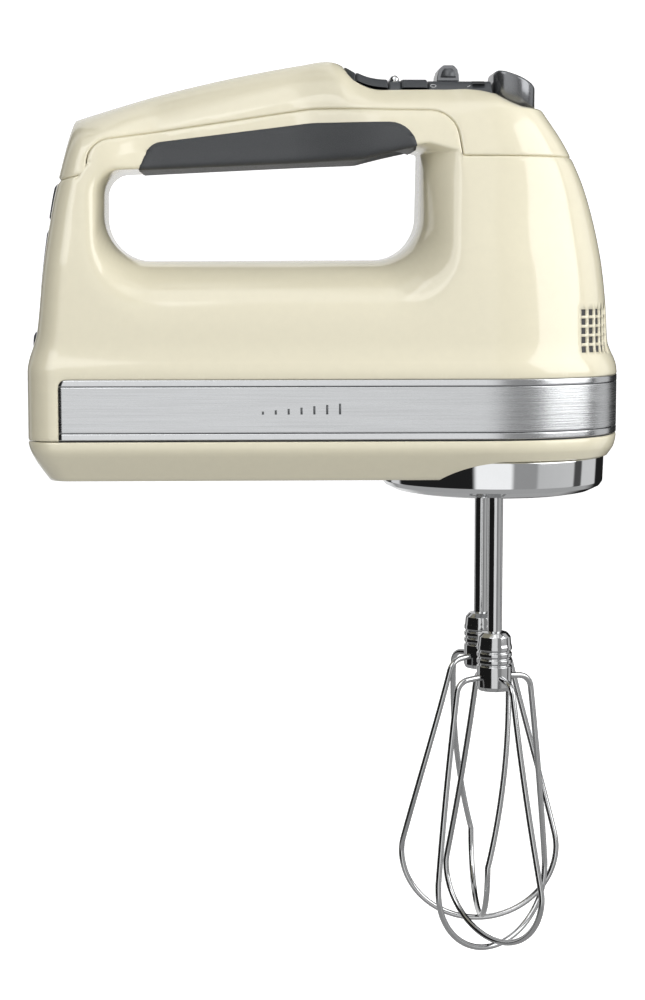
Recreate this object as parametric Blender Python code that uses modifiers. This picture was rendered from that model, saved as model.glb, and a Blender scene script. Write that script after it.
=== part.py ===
"""A corded hand mixer with two wire beaters, built as separate pieces on a common frame.

The mixer lies nose towards +X with its beaters hanging down along -Z. The origin is the
middle of the flat heel at the rear, on which the mixer is parked. Sizes below are in
millimetres; MM turns them into metres where meshes are made.
"""
import math

import bmesh
import bpy
import numpy as np
from mathutils import Matrix, Vector

MM = 0.001
GAP = 0.3  # clearance between neighbouring pieces

# ---------------------------------------------------------------- body shape
BAND_LOW = -10.5
BAND_HIGH = 9.2
BAND_REAR = 10.2
BAND_DEPTH = 1.5
SEAM = -11.2  # the joint between main housing and lower housing
WALL = 3.5
FLOOR_REAR = -24.9
FLOOR_FRONT = -18.5
REAR_BLEND = 40.0  # the rear outline's slope fades out over this length
REAR_RADIUS = 9.0
NOSE_START = 150.0  # ahead of this the body rounds off towards the nose
NOSE_POWERS = (2.2, 2.7)  # how blunt the nose is in plan, low down and at the top
CROWN_DEPTHS = (16.0, 1.5)  # height of the rounded top over the handle and at the nose
CROWN_POWER = 2.4
HANDLE_DIP = 7.0  # how far the handle lies inside the posts, each side

TOP_LINE = ((14, 94.2), (24, 97.4), (60, 107.4), (96, 114.3), (103, 115), (105, 114.2), (110, 110.8),
            (119, 108.4), (145, 108.4), (150, 107.5), (156, 105.3), (160, 102.9), (166.2, 99.9),
            (173.5, 98.9))
NOSE_LINE = ((-18.5, 198.2), (-15, 200.3), (-11, 201), (10, 201), (13.5, 200.4), (17, 198.8),
             (20.5, 197.6), (31, 197), (45, 195.5), (58, 193), (72, 188.9), (85.5, 182.5), (99, 173.5))
REAR_LINE = ((-24.9, 8), (-20, 4.3), (-12, 0.3), (-11, 0), (12, 0), (16, 0.8), (20, 2.4),
             (24, 3.8), (44, 5.7), (67, 9.3), (82, 12.8), (96, 16.2))
HALF_WIDTH = ((-24.9, 32), (-15, 42.3), (-11, 43), (12, 43), (16, 41.4), (20, 40.4), (26, 39.9),
              (45, 37.5), (60, 34), (75, 30.5), (90, 26.5), (100, 23), (115, 17))
DIP_FADES = ((22, 45), (88, 120))  # along X, where the handle's dip grows and where it ends
LEVELS = (-15, -11, 12, 17, 22, 40, 60, 82)
CROWN_LEVELS = (0.4, 0.7, 0.92)
REAR_STATIONS = (0, 2, 6, 14, 26, 40, 70, 96, 103, 109, 119, 138, 144, 150)
NOSE_STATIONS = (0.25, 0.45, 0.62, 0.76, 0.87, 0.95, 0.985, 0.998)

# outlines in the side view: corners as (x, z, corner radius)
THROAT = ((25.7, 47.6, 15), (131.6, 48, 15), (132.2, 84, 1), (124.5, 86.4, 4), (112, 81.4, 14),
          (25.9, 77.2, 8))
MOUTH = ((22.6, 30, 24), (143.4, 30, 22), (143.8, 84, 1), (135, 86.4, 4), (112, 81.4, 14), (22.8, 77.2, 8))
THROAT_HALF = 10.0
MOUTH_HALF_LOW = 39.5
MOUTH_HALF_HIGH = 30.0
TOP_REGION = ((-6, 70.2, 0), (20.5, 76.2, 1.2), (21.6, 87, 8), (95, 98.2, 40), (142.6, 97.6, 10),
              (144.9, 82.5, 0.8), (210, 82.5, 0), (210, 130, 0), (-6, 130, 0))
GRIP_REGION = ((131.6, 70, 0), (131, 84, 1), (127, 93.6, 9), (95, 93.4, 40), (41.5, 86.6, 6),
               (38.2, 79, 1), (37.6, 70, 0))
GRIP_THICKNESS = 3.4

# ---------------------------------------------------------------- controls
PANEL_HALF = 15.0
PANEL_REAR = 104.8
PANEL_FRONT = 155.4
PANEL_TOP = 107.8
PANEL_BOTTOM = 102.9
KEY_TOP = 108.6
KEY_SKIRT = 105.6  # lower edge of a key's flanks
KEY_STEM_HALF = 8.0
KEY_STEM_INSET = 1.5  # from a key's ends to its stem
KEY_STEM_LOW = 103.2
KEY_ROOM = 1.2  # free depth below a key's flanks
KEYS = {"speed_down_key": (110.4, 121.0), "speed_up_key": (125.4, 134.3)}
DOME_X = 123.2
KNOB_X = 141.4
KNOB_TRAVEL = 8.0
BUTTON_REAR = 156.6
BUTTON_FRONT = 172.7
BUTTON_HALF = 14.0
BUTTON_LOW = 96.0
BUTTON_ROOM = 8.0  # free depth below the button
PANEL_PLAN = ((PANEL_REAR, PANEL_HALF, 11), (PANEL_REAR, -PANEL_HALF, 11), (PANEL_FRONT + 1, -PANEL_HALF, 0),
              (PANEL_FRONT + 1, PANEL_HALF, 0))

# ---------------------------------------------------------------- rear fittings and vents
PAD_HALF = 20.0
PAD_PROUD = 1.0
PAD_LOW = 36.0
PAD_HIGH = 72.0
INLET_R = 8.2
INLET_BORE_R = 3.4
INLET_Z = 21.0
VENT_REAR = 184.9
VENT_FRONT = 193.5
VENT_LOW = 18.0
VENT_HEIGHT = 2.0
VENT_PITCH = 3.05
VENT_ROWS = 5

# ---------------------------------------------------------------- housing screws
SCREWS = ((18, -22), (18, 22), (104, -24), (104, 24))
SCREW_HOLE_R = 1.9
SCREW_SEAT_R = 3.9
SCREW_SEAT_Z = -23.0

# ---------------------------------------------------------------- drive train
MOTOR_Z = 8.0
SHAFT_R = 3.0
AXIS_X = 157.5  # the two beater axes
SPACING = 42.0
GEAR_TEETH = 32
GEAR_PITCH_R = 16.0
GEAR_TIP_R = 16.6
GEAR_ROOT_R = 14.7
GEAR_TOOTH = ((-0.2, GEAR_ROOT_R), (-0.1, GEAR_TIP_R), (0.1, GEAR_TIP_R), (0.2, GEAR_ROOT_R))
GEAR_WIDTH = 8.0
GEAR_TWIST = 0.05  # radians over the gear's width, to follow the worm's lead
WORM_PITCH = 2 * math.pi * GEAR_PITCH_R / GEAR_TEETH
SPINDLE_R = 6.5
SPINDLE_BORE_R = 2.85
SPINDLE_TOP = 32.0
SPINDLE_LOW = -28.6

# ---------------------------------------------------------------- collar and beaters
COLLAR_X = 158.5
COLLAR_R = 38.6
COLLAR_LOW = -31.5
COLLAR_TOP = -18.6
NECK_R = 29.7
BEATER_SHAFT_R = 2.5
BEATER_TOP = 20.0
FERRULE_TOP = -77.6
FERRULE_LOW = -98.3
FERRULE_R = 6.0
WIRE_R = 1.0
WIRE_EXIT_Z = -93.6
LOOP_SHOULDER = (14.0, -94.4, 5.0)  # (distance from the axis, z, corner radius)
LOOP_CENTRE_Z = -165.0  # height of the ellipse that ends each loop
LOOP_ARC = (10, -8, -26, -42, -56, -69, -80)  # degrees along the ellipse, 0 at its widest and -90 at the tip
# each loop's direction where it leaves the ferrule and where it is widest, in degrees, its half width and tip
LOOPS = {"right": {"inner": (18, 30, 27.6, -186.2), "outer": (113, 125, 24.5, -188.6)},
         "left": {"inner": (38, 0, 27.6, -188.8), "outer": (128, 92, 28.4, -191.2)}}


# ================================================================ tools
def material(name, colour, roughness, metallic=0.0):
    made = bpy.data.materials.new(name)
    made.use_nodes = True
    shader = made.node_tree.nodes["Principled BSDF"]
    shader.inputs["Base Color"].default_value = (*colour, 1)
    shader.inputs["Roughness"].default_value = roughness
    shader.inputs["Metallic"].default_value = metallic
    return made


def collection(name):
    made = bpy.data.collections.new(name)
    bpy.context.scene.collection.children.link(made)
    return made


def empty(name, place):
    made = bpy.data.objects.new(name, None)
    made.location = Vector(place) * MM
    PARTS.objects.link(made)
    bpy.context.view_layer.update()
    return made


def put(name, mesh, paint=None, axis=None, cutter=False):
    """Links a mesh as a part or a cutter; an axis is the empty whose place becomes its origin."""
    made = bpy.data.objects.new(name, mesh)
    (CUTTERS if cutter else PARTS).objects.link(made)
    if cutter:
        made.hide_render = True
        made.display_type = "WIRE"
    else:
        mesh.materials.append(paint)
    if axis is not None:
        mesh.transform(Matrix.Translation(-axis.location))
        made.parent = axis
    return made


def mesh_of(name, shape):
    bmesh.ops.recalc_face_normals(shape, faces=shape.faces)
    mesh = bpy.data.meshes.new(name)
    shape.to_mesh(mesh)
    shape.free()
    return mesh


def box_mesh(name, low, high):
    low = Vector(low) * MM
    high = Vector(high) * MM
    shape = bmesh.new()
    size = Matrix.Diagonal((*(high - low), 1))
    bmesh.ops.create_cube(shape, size=1, matrix=Matrix.Translation((low + high) / 2) @ size)
    return mesh_of(name, shape)


TURN_TO = {"X": Matrix.Rotation(math.pi / 2, 4, "Y"), "Y": Matrix.Rotation(-math.pi / 2, 4, "X"),
           "Z": Matrix.Identity(4)}


def rod_mesh(name, radius, start, length, direction="Z", sides=20):
    """A cylinder from its start point along a positive axis direction."""
    shape = bmesh.new()
    place = Matrix.Translation(Vector(start) * MM) @ TURN_TO[direction]
    place = place @ Matrix.Translation((0, 0, length * MM / 2))
    bmesh.ops.create_cone(shape, cap_ends=True, segments=sides, radius1=radius * MM,
                          radius2=radius * MM, depth=length * MM, matrix=place)
    return mesh_of(name, shape)


def turned(name, profile, centre, paint, axis=None, direction="Z", sides=24, closed=True, cutter=False):
    """A profile of (radius, height) points, outer side first and downwards, turned about an axis."""
    mesh = bpy.data.meshes.new(name)
    points = [(r * MM, 0, h * MM) for r, h in profile]
    edges = [(i, i + 1) for i in range(len(points) - 1)]
    if closed:
        edges.append((len(points) - 1, 0))
    edges = [(a, b) for a, b in edges if profile[a][0] or profile[b][0]]
    mesh.from_pydata(points, edges, [])
    made = put(name, mesh, paint, cutter=cutter)
    made.matrix_world = Matrix.Translation(Vector(centre) * MM) @ TURN_TO[direction]
    screw = made.modifiers.new("turn", "SCREW")
    screw.axis = "Z"
    screw.steps = sides
    screw.render_steps = sides
    screw.use_merge_vertices = True
    screw.merge_threshold = 0.00001
    screw.use_smooth_shade = True
    if axis is not None:
        place = made.matrix_world.copy()
        made.parent = axis
        made.matrix_parent_inverse = Matrix.Translation(-axis.location)
        made.matrix_world = place
    return made


def ring(name, outer, inner, low, high, centre, paint, **more):
    return turned(name, ((outer, high), (outer, low), (inner, low), (inner, high)), centre, paint, **more)


def shape_with(piece, tool, how):
    """Cuts, joins or trims a piece with another object."""
    change = piece.modifiers.new(how.lower(), "BOOLEAN")
    change.operation = how
    change.solver = "EXACT"
    change.object = tool
    return piece


def cut(piece, *tools):
    for tool in tools:
        shape_with(piece, tool, "DIFFERENCE")
    return piece


def join(piece, mesh):
    """Joins another mesh, given in world place, to a piece; the joined mesh stays as a hidden guide."""
    guide = put(mesh.name, mesh, cutter=True)
    return shape_with(piece, guide, "UNION")


def smooth_step(value, low, high):
    share = min(max((value - low) / (high - low), 0), 1)
    return share * share * (3 - 2 * share)


def along(table, value):
    return float(np.interp(value, [row[0] for row in table], [row[1] for row in table]))


def grown(corners, distance):
    """The outline's corners moved outwards by a distance, for an outline that turns anticlockwise."""
    moved = []
    for i, (x, z, radius) in enumerate(corners):
        before = Vector(corners[i - 1][:2])
        here = Vector((x, z))
        after = Vector(corners[(i + 1) % len(corners)][:2])
        first = (here - before).normalized()
        second = (after - here).normalized()
        out_first = Vector((first.y, -first.x))
        out_second = Vector((second.y, -second.x))
        middle = (out_first + out_second).normalized()
        turn = first.x * second.y - first.y * second.x
        shift = distance / max(middle.dot(out_first), 0.4)
        new_radius = radius + distance if turn > 0 else radius - distance
        moved.append((x + middle.x * shift, z + middle.y * shift, max(new_radius, 0) if radius else 0))
    return moved


def rounded(corners, steps, closed=True):
    """Points along straight runs joined by arcs of each corner's radius."""
    points = []
    last = len(corners) - 1
    for i, (x, z, radius) in enumerate(corners):
        here = Vector((x, z))
        if radius == 0 or (not closed and i in (0, last)):
            points.append(here)
            continue
        back = (Vector(corners[i - 1][:2]) - here).normalized()
        ahead = (Vector(corners[(i + 1) % len(corners)][:2]) - here).normalized()
        half = back.angle(ahead) / 2
        reach = radius / math.tan(half)
        centre = here + (back + ahead).normalized() * (radius / math.sin(half))
        start = here + back * reach - centre
        finish = here + ahead * reach - centre
        swing = start.angle_signed(finish)
        for step in range(steps + 1):
            turn = -swing * step / steps
            points.append(centre + Vector((start.x * math.cos(turn) - start.y * math.sin(turn),
                                           start.x * math.sin(turn) + start.y * math.cos(turn))))
    return points


def side_plate(name, corners, half, steps=4, paint=None, cutter=False, plan=False):
    """A side-view outline extruded along Y from -half to half, or a plan outline extruded along Z."""
    curve = bpy.data.curves.new(name, "CURVE")
    curve.dimensions = "2D"
    curve.fill_mode = "BOTH"
    curve.extrude = half * MM
    outline = rounded(corners, steps)
    spline = curve.splines.new("POLY")
    spline.points.add(len(outline) - 1)
    for point, (x, z) in zip(spline.points, outline):
        point.co = (x * MM, z * MM, 0, 1)
    spline.use_cyclic_u = True
    made = bpy.data.objects.new(name, curve)
    bpy.context.scene.collection.objects.link(made)
    made.matrix_world = Matrix.Identity(4) if plan else Matrix.Rotation(math.pi / 2, 4, "X")
    return as_mesh(made, name, paint, cutter)


def as_mesh(curve_object, name, paint=None, cutter=False, axis=None):
    """Turns a curve object into a closed mesh object at the same place."""
    bpy.context.view_layer.update()
    evaluated = curve_object.evaluated_get(bpy.context.evaluated_depsgraph_get())
    mesh = bpy.data.meshes.new_from_object(evaluated)
    mesh.transform(curve_object.matrix_world)
    mesh.materials.clear()
    shape = bmesh.new()
    shape.from_mesh(mesh)
    bmesh.ops.remove_doubles(shape, verts=shape.verts, dist=0.00001)
    bmesh.ops.recalc_face_normals(shape, faces=shape.faces)
    shape.to_mesh(mesh)
    shape.free()
    mesh.name = name
    bpy.data.objects.remove(curve_object)
    return put(name, mesh, paint, axis=axis, cutter=cutter)


def wire(name, points, radius, paint=None, axis=None, cutter=False, fineness=2):
    """A round wire through points in millimetres."""
    curve = bpy.data.curves.new(name, "CURVE")
    curve.dimensions = "3D"
    curve.bevel_depth = radius * MM
    curve.bevel_resolution = fineness
    curve.use_fill_caps = True
    spline = curve.splines.new("POLY")
    spline.points.add(len(points) - 1)
    for point, place in zip(spline.points, points):
        point.co = (*(Vector(place) * MM), 1)
    made = bpy.data.objects.new(name, curve)
    bpy.context.scene.collection.objects.link(made)
    made = as_mesh(made, name, paint, cutter, axis)
    made.data.shade_smooth()
    return made


# ================================================================ body surface
def handle_dip(x, z):
    inside = smooth_step(x, *DIP_FADES[0]) - smooth_step(x, *DIP_FADES[1])
    return HANDLE_DIP * inside * smooth_step(z, 66, 84)


def body_half_width(station, x, z, top, inset):
    """Half the body's width at a place, before the nose is rounded off."""
    half = along(HALF_WIDTH, z) - handle_dip(x, z) - inset
    if station < REAR_RADIUS:
        half -= REAR_RADIUS - math.sqrt(REAR_RADIUS ** 2 - (REAR_RADIUS - station) ** 2)
    depth = CROWN_DEPTHS[0] + (CROWN_DEPTHS[1] - CROWN_DEPTHS[0]) * smooth_step(x, 138, 170)
    share = max((z - top + depth) / depth, 0)
    return half * max(1 - share ** CROWN_POWER, 0) ** (1 / CROWN_POWER)


def body_mesh(name, inset=0.0):
    """The closed surface of the whole body, set in by a distance."""
    shape = bmesh.new()
    sheets = []
    stations = [(s, None) for s in REAR_STATIONS] + [(NOSE_START, f) for f in NOSE_STATIONS]
    for station, share in stations:
        def x_at(z):
            if share is not None:
                return NOSE_START + (along(NOSE_LINE, z) - inset - NOSE_START) * share
            lean = max(1 - station / REAR_BLEND, 0)
            return station + (along(REAR_LINE, z) + inset) * lean
        top = along(TOP_LINE, x_at(99)) - inset
        front = smooth_step(x_at(0), 138, 158)
        floor = FLOOR_REAR + (FLOOR_FRONT - FLOOR_REAR) * front + inset
        heights = [floor] + [z for z in LEVELS if z > floor + 0.5]
        while len(heights) < len(LEVELS) + 1:
            heights.insert(1, (heights[0] + heights[1]) / 2)
        heights += [LEVELS[-1] + (top - LEVELS[-1]) * c for c in CROWN_LEVELS]
        right = []
        for z in heights:
            half = body_half_width(station, x_at(z), z, top, inset)
            if share is not None:
                power = NOSE_POWERS[0] + (NOSE_POWERS[1] - NOSE_POWERS[0]) * smooth_step(z, 60, 95)
                half *= (1 - share ** power) ** (1 / power)
            right.append(Vector((x_at(z), -half, z)))
        left = [Vector((p.x, -p.y, p.z)) for p in right]
        crown = Vector((x_at(top), 0, top))
        sheets.append([shape.verts.new(p * MM) for p in right + [crown] + left[::-1]])
    count = len(sheets[0])
    for back, ahead in zip(sheets, sheets[1:]):
        for i in range(count):
            after = (i + 1) % count
            shape.faces.new((back[i], back[after], ahead[after], ahead[i]))
    for sheet in (sheets[0], sheets[-1]):
        half_count = count // 2
        for i in range(half_count - 1):
            shape.faces.new((sheet[i], sheet[i + 1], sheet[count - 2 - i], sheet[count - 1 - i]))
        shape.faces.new((sheet[half_count - 1], sheet[half_count], sheet[half_count + 1]))
    bmesh.ops.triangulate(shape, faces=[f for f in shape.faces if len(f.verts) == 4])
    return mesh_of(name, shape)


def opening_cutter(name, grow=0.0):
    """The handle opening: a throat that flares to a wider mouth on both sides."""
    throat = rounded(grown(THROAT, grow), 3)
    mouth = rounded(grown(MOUTH, grow), 3)
    rings = []
    for side in (-1, 1):
        flare = []
        for angle in (0, 30, 55, 75, 90):
            swing = math.radians(angle)
            sheet = []
            for a, b in zip(throat, mouth):
                reach = np.interp(b.y, (30, 80), (MOUTH_HALF_LOW, MOUTH_HALF_HIGH))
                y = THROAT_HALF + (reach - THROAT_HALF) * math.sin(swing)
                place = a + (b - a) * (1 - math.cos(swing))
                sheet.append(Vector((place.x, side * y, place.y)))
            flare.append(sheet)
        flare.append([Vector((b.x, side * 60, b.y)) for b in mouth])
        rings += flare[::-1] if side < 0 else flare
    shape = bmesh.new()
    sheets = [[shape.verts.new(p * MM) for p in sheet] for sheet in rings]
    count = len(throat)
    for back, ahead in zip(sheets, sheets[1:]):
        for i in range(count):
            after = (i + 1) % count
            shape.faces.new((back[i], back[after], ahead[after], ahead[i]))
    shape.faces.new(sheets[0])
    shape.faces.new(sheets[-1])
    bmesh.ops.triangulate(shape, faces=shape.faces)
    return put(name, mesh_of(name, shape), cutter=True)


def box_cutter(name, low, high):
    return put(name, box_mesh(name, low, high), cutter=True)


def rod_cutter(name, radius, start, length, direction="Z", sides=20):
    return put(name, rod_mesh(name, radius, start, length, direction, sides), cutter=True)


def build_housings():
    """The cream shells, the metal band and the soft grip, all cut from one body surface."""
    opening = opening_cutter("opening")
    cavity = put("cavity", body_mesh("cavity", WALL), cutter=True)
    cut(cavity, opening_cutter("opening_wall", WALL))
    cut(cavity, side_plate("grip_wall", grown(GRIP_REGION, 2.6), 60, cutter=True))
    grip_core = put("grip_core", body_mesh("grip_core", GRIP_THICKNESS), cutter=True)
    cut(grip_core, opening_cutter("grip_core_opening", GRIP_THICKNESS))
    grip_seat = side_plate("grip_seat", grown(GRIP_REGION, GAP), 60, cutter=True)
    seat_core = put("seat_core", body_mesh("seat_core", GRIP_THICKNESS + GAP), cutter=True)
    cut(seat_core, opening_cutter("seat_core_opening", GRIP_THICKNESS + GAP))
    cut(grip_seat, seat_core)
    band_seat = box_cutter("band_seat", (BAND_REAR - GAP, -60, BAND_LOW - GAP), (215, 60, BAND_HIGH + GAP))
    cut(band_seat, put("band_back", body_mesh("band_back", BAND_DEPTH + GAP), cutter=True))

    main = put("main_housing", body_mesh("main_housing"), CREAM)
    cut(main, cavity, opening, grip_seat, band_seat,
        side_plate("top_clearance", grown(TOP_REGION, GAP), 60, cutter=True),
        box_cutter("below_seam", (-10, -60, -60), (215, 60, SEAM)),
        rod_cutter("inlet_seat", INLET_R + GAP, (-5, 0, INLET_Z), 30, "X"),
        box_cutter("rear_panel_seat", (-10, -PAD_HALF - GAP, PAD_LOW - GAP),
                   (13.2, PAD_HALF + GAP, PAD_HIGH + GAP)))
    cut_vents(main)

    cover = put("top_cover", body_mesh("top_cover"), CREAM)
    shape_with(cover, side_plate("top_region", TOP_REGION, 60, cutter=True), "INTERSECT")
    panel_hole = side_plate("panel_hole", grown(PANEL_PLAN, GAP), 130, steps=5, cutter=True, plan=True)
    shape_with(panel_hole, box_cutter("panel_hole_room", (90, -20, 98), (170, 20, 131)), "INTERSECT")
    cut(cover, cavity, panel_hole,
        box_cutter("button_hole", (PANEL_FRONT - GAP, -BUTTON_HALF - GAP, BUTTON_LOW - BUTTON_ROOM),
                   (BUTTON_FRONT + GAP, BUTTON_HALF + GAP, 130)))

    lower = put("lower_housing", body_mesh("lower_housing"), CREAM)
    shape_with(lower, box_cutter("under_seam", (-10, -60, -60), (215, 60, SEAM - GAP)), "INTERSECT")
    cut(lower, cavity,
        rod_cutter("collar_seat", COLLAR_R + GAP, (COLLAR_X, 0, -50), 50 + COLLAR_TOP + GAP, sides=40),
        rod_cutter("neck_hole", NECK_R + GAP, (COLLAR_X, 0, -50), 45, sides=40))
    for i, (x, y) in enumerate(SCREWS):
        cut(lower, rod_cutter(f"screw_hole_{i}", SCREW_HOLE_R, (x, y, -30), 15, sides=12),
            rod_cutter(f"screw_head_seat_{i}", SCREW_SEAT_R, (x, y, -30), SCREW_SEAT_Z + 30, sides=16))

    band = put("trim_band", body_mesh("trim_band"), STEEL)
    shape_with(band, box_cutter("band_room", (BAND_REAR, -60, BAND_LOW), (215, 60, BAND_HIGH)), "INTERSECT")
    cut(band, put("band_inside", body_mesh("band_inside", BAND_DEPTH), cutter=True))

    grip = put("soft_grip", body_mesh("soft_grip"), SOFT)
    shape_with(grip, side_plate("grip_room", GRIP_REGION, 60, cutter=True), "INTERSECT")
    cut(grip, opening, grip_core)


def cut_vents(main):
    """Five rows of cooling slots at each side of the nose."""
    slots = box_cutter("nose_vents", (VENT_REAR, -60, VENT_LOW), (VENT_FRONT, 60, VENT_LOW + VENT_HEIGHT))
    repeat = slots.modifiers.new("rows", "ARRAY")
    repeat.use_relative_offset = False
    repeat.use_constant_offset = True
    repeat.constant_offset_displace = (0, 0, VENT_PITCH * MM)
    repeat.count = VENT_ROWS
    cut(main, slots)


def build_fixed_trim():
    """Panel, rear pad, cord inlet, collar and screws, which don't move."""
    panel_corners = ((PANEL_REAR - 2, PANEL_BOTTOM, 0), (PANEL_FRONT, PANEL_BOTTOM, 0),
                     (PANEL_FRONT, PANEL_TOP, 1), (112.5, PANEL_TOP, 6), (106.2, 113.2, 0.6),
                     (PANEL_REAR - 2, 112.6, 0))
    panel = side_plate("control_panel", panel_corners, PANEL_HALF + 2, paint=DARK)
    shape_with(panel, side_plate("panel_plan", PANEL_PLAN, 130, cutter=True, plan=True), "INTERSECT")
    for name, (rear, front) in KEYS.items():
        cut(panel,
            box_cutter(f"{name}_recess", (rear - GAP, -20, KEY_SKIRT - KEY_ROOM), (front + GAP, 20, 130)),
            box_cutter(f"{name}_hole", (rear + KEY_STEM_INSET - GAP, -KEY_STEM_HALF - GAP, 90),
                       (front - KEY_STEM_INSET + GAP, KEY_STEM_HALF + GAP, 130)))
    cut(panel, box_cutter("slide_slot", (KNOB_X - 2.6, -3.2, 90), (KNOB_X + 2.6 + KNOB_TRAVEL, 3.2, 130)),
        rod_cutter("dome_hole", 1.5, (DOME_X, 0, 95), 20, sides=16))
    turned("speed_light", ((0, 110.1), (0.9, 109.8), (1.2, 109.2), (1.2, 104), (0, 104)), (DOME_X, 0, 0),
           CHROME, closed=False, sides=16)

    pad = put("rear_panel", body_mesh("rear_panel", -PAD_PROUD), SOFT)
    pad_room = box_cutter("pad_room", (-10, -PAD_HALF, PAD_LOW), (13.0, PAD_HALF, PAD_HIGH))
    shape_with(pad, pad_room, "INTERSECT")
    cut(pad, put("pad_inside", body_mesh("pad_inside", 2.2), cutter=True))

    turned("cord_inlet", (
        (INLET_R, 14), (INLET_R, 4.6), (6.0, 1.4), (5.0, 0.9), (INLET_BORE_R, 0.9), (INLET_BORE_R, 14)),
           (0, 0, INLET_Z), SOFT, direction="X")

    collar = turned("beater_collar", (
        (28.2, -13), (NECK_R, -13), (NECK_R, COLLAR_TOP), (COLLAR_R, COLLAR_TOP),
        (38.3, -27.6), (37.3, -29.1), (33.8, -30.8), (30.0, COLLAR_LOW), (28.4, -30.8), (27.6, -29.4),
        (0, -29.4), (0, -27.2), (34.5, -27.2), (36.1, -25.6), (36.1, -21.3), (28.2, -21.3)),
                    (COLLAR_X, 0, 0), CHROME, sides=32)
    for side in (-1, 1):
        cut(collar, rod_cutter(f"collar_hole_{side}", 7.0, (AXIS_X, side * SPACING / 2, -40), 14))

    for i, (x, y) in enumerate(SCREWS):
        screw(f"housing_screw_{i + 1}", (x, y), ((1.6, -8), (1.6, -23.3), (3.5, -23.3), (3.5, -24.6)))


def screw(name, place, profile):
    """A screw turned from a stepped profile of (radius, height), top to bottom."""
    return turned(name, ((0, profile[0][1]), *profile, (0, profile[-1][1])), (*place, 0), STEEL,
                  closed=False, sides=12)


def build_controls():
    """Keys, power slide and ejector with its yoke and spring."""
    for name, (rear, front) in KEYS.items():
        axis = empty(f"{name}_axis", ((rear + front) / 2, 0, KEY_TOP))
        slope = 1.8 if name == "speed_down_key" else 0.0
        corners = ((rear, KEY_SKIRT, 0), (front, KEY_SKIRT, 0), (front, KEY_TOP, 0.5),
                   (rear, KEY_TOP + slope, 0.5))
        key = side_plate(name, corners, PANEL_HALF + 2, paint=DARK)
        shape_with(key, bpy.data.objects["panel_plan"], "INTERSECT")
        join(key, box_mesh(f"{name}_stem", (rear + KEY_STEM_INSET, -KEY_STEM_HALF, KEY_STEM_LOW),
                           (front - KEY_STEM_INSET, KEY_STEM_HALF, 107)))
        move_origin(key, axis)

    axis = empty("power_slide_axis", (KNOB_X, 0, PANEL_TOP))
    corners = ((KNOB_X - 4, PANEL_TOP + GAP, 0), (KNOB_X + 4, PANEL_TOP + GAP, 0), (KNOB_X + 4, 110, 0.5),
               (KNOB_X + 3.2, 114.2, 2.2), (KNOB_X - 3.0, 114.2, 2.4), (KNOB_X - 4, 110, 0.5))
    knob = side_plate("power_slide", corners, 7.5, paint=DARK)
    join(knob, box_mesh("slide_stem", (KNOB_X - 2.2, -2.8, 100.2), (KNOB_X + 2.2, 2.8, 110)))
    move_origin(knob, axis)

    axis = empty("ejector_axis", (AXIS_X, 0, 100))
    corners = ((BUTTON_REAR, BUTTON_LOW, 0), (BUTTON_FRONT, BUTTON_LOW, 0), (BUTTON_FRONT, 107.4, 1.2),
               (166.5, 110.8, 12), (160.5, 112.7, 2.5), (157.2, 111.4, 1), (BUTTON_REAR, 108, 0.5))
    button = side_plate("ejector_button", corners, BUTTON_HALF, paint=GUNMETAL)
    move_origin(button, axis)
    yoke_x = AXIS_X + 2.5
    stem = box_mesh("ejector_yoke", (yoke_x - 3.5, -3.5, 52), (yoke_x + 3.5, 3.5, 95.7))
    yoke = put("ejector_yoke", stem, STEEL)
    join(yoke, box_mesh("yoke_bar", (AXIS_X - 3.2, -24.4, 51), (yoke_x + 3.5, 24.4, 56)))
    join(yoke, box_mesh("yoke_flange", (yoke_x - 6, -6, 88), (yoke_x + 6, 6, 90)))
    for side in (-1, 1):
        foot = (AXIS_X, side * SPACING / 2, BEATER_TOP + GAP)
        join(yoke, rod_mesh(f"push_pin_{side}", 2.45, foot, 33, sides=12))
    move_origin(yoke, axis)

    guide = put("ejector_guide", box_mesh("ejector_guide", (148, -22, 62), (172, 22, 65)), DARK)
    cut(guide, box_cutter("guide_hole", (yoke_x - 3.8, -3.8, 55), (yoke_x + 3.8, 3.8, 70)))
    coil = []
    turns = 5
    steps = 8
    radius = 6.6
    low = 66.1
    high = 87.0
    for i in range(turns * steps + 1):
        angle = 2 * math.pi * i / steps
        height = low + (high - low) * i / (turns * steps)
        coil.append((yoke_x + radius * math.cos(angle), radius * math.sin(angle), height))
    wire("ejector_spring", coil, 0.6, STEEL, fineness=1)


def move_origin(piece, axis):
    """Sets a piece's origin on its joint's axis and parents it to the axis empty."""
    piece.data.transform(Matrix.Translation(-axis.location))
    piece.parent = axis
    return piece


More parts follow.
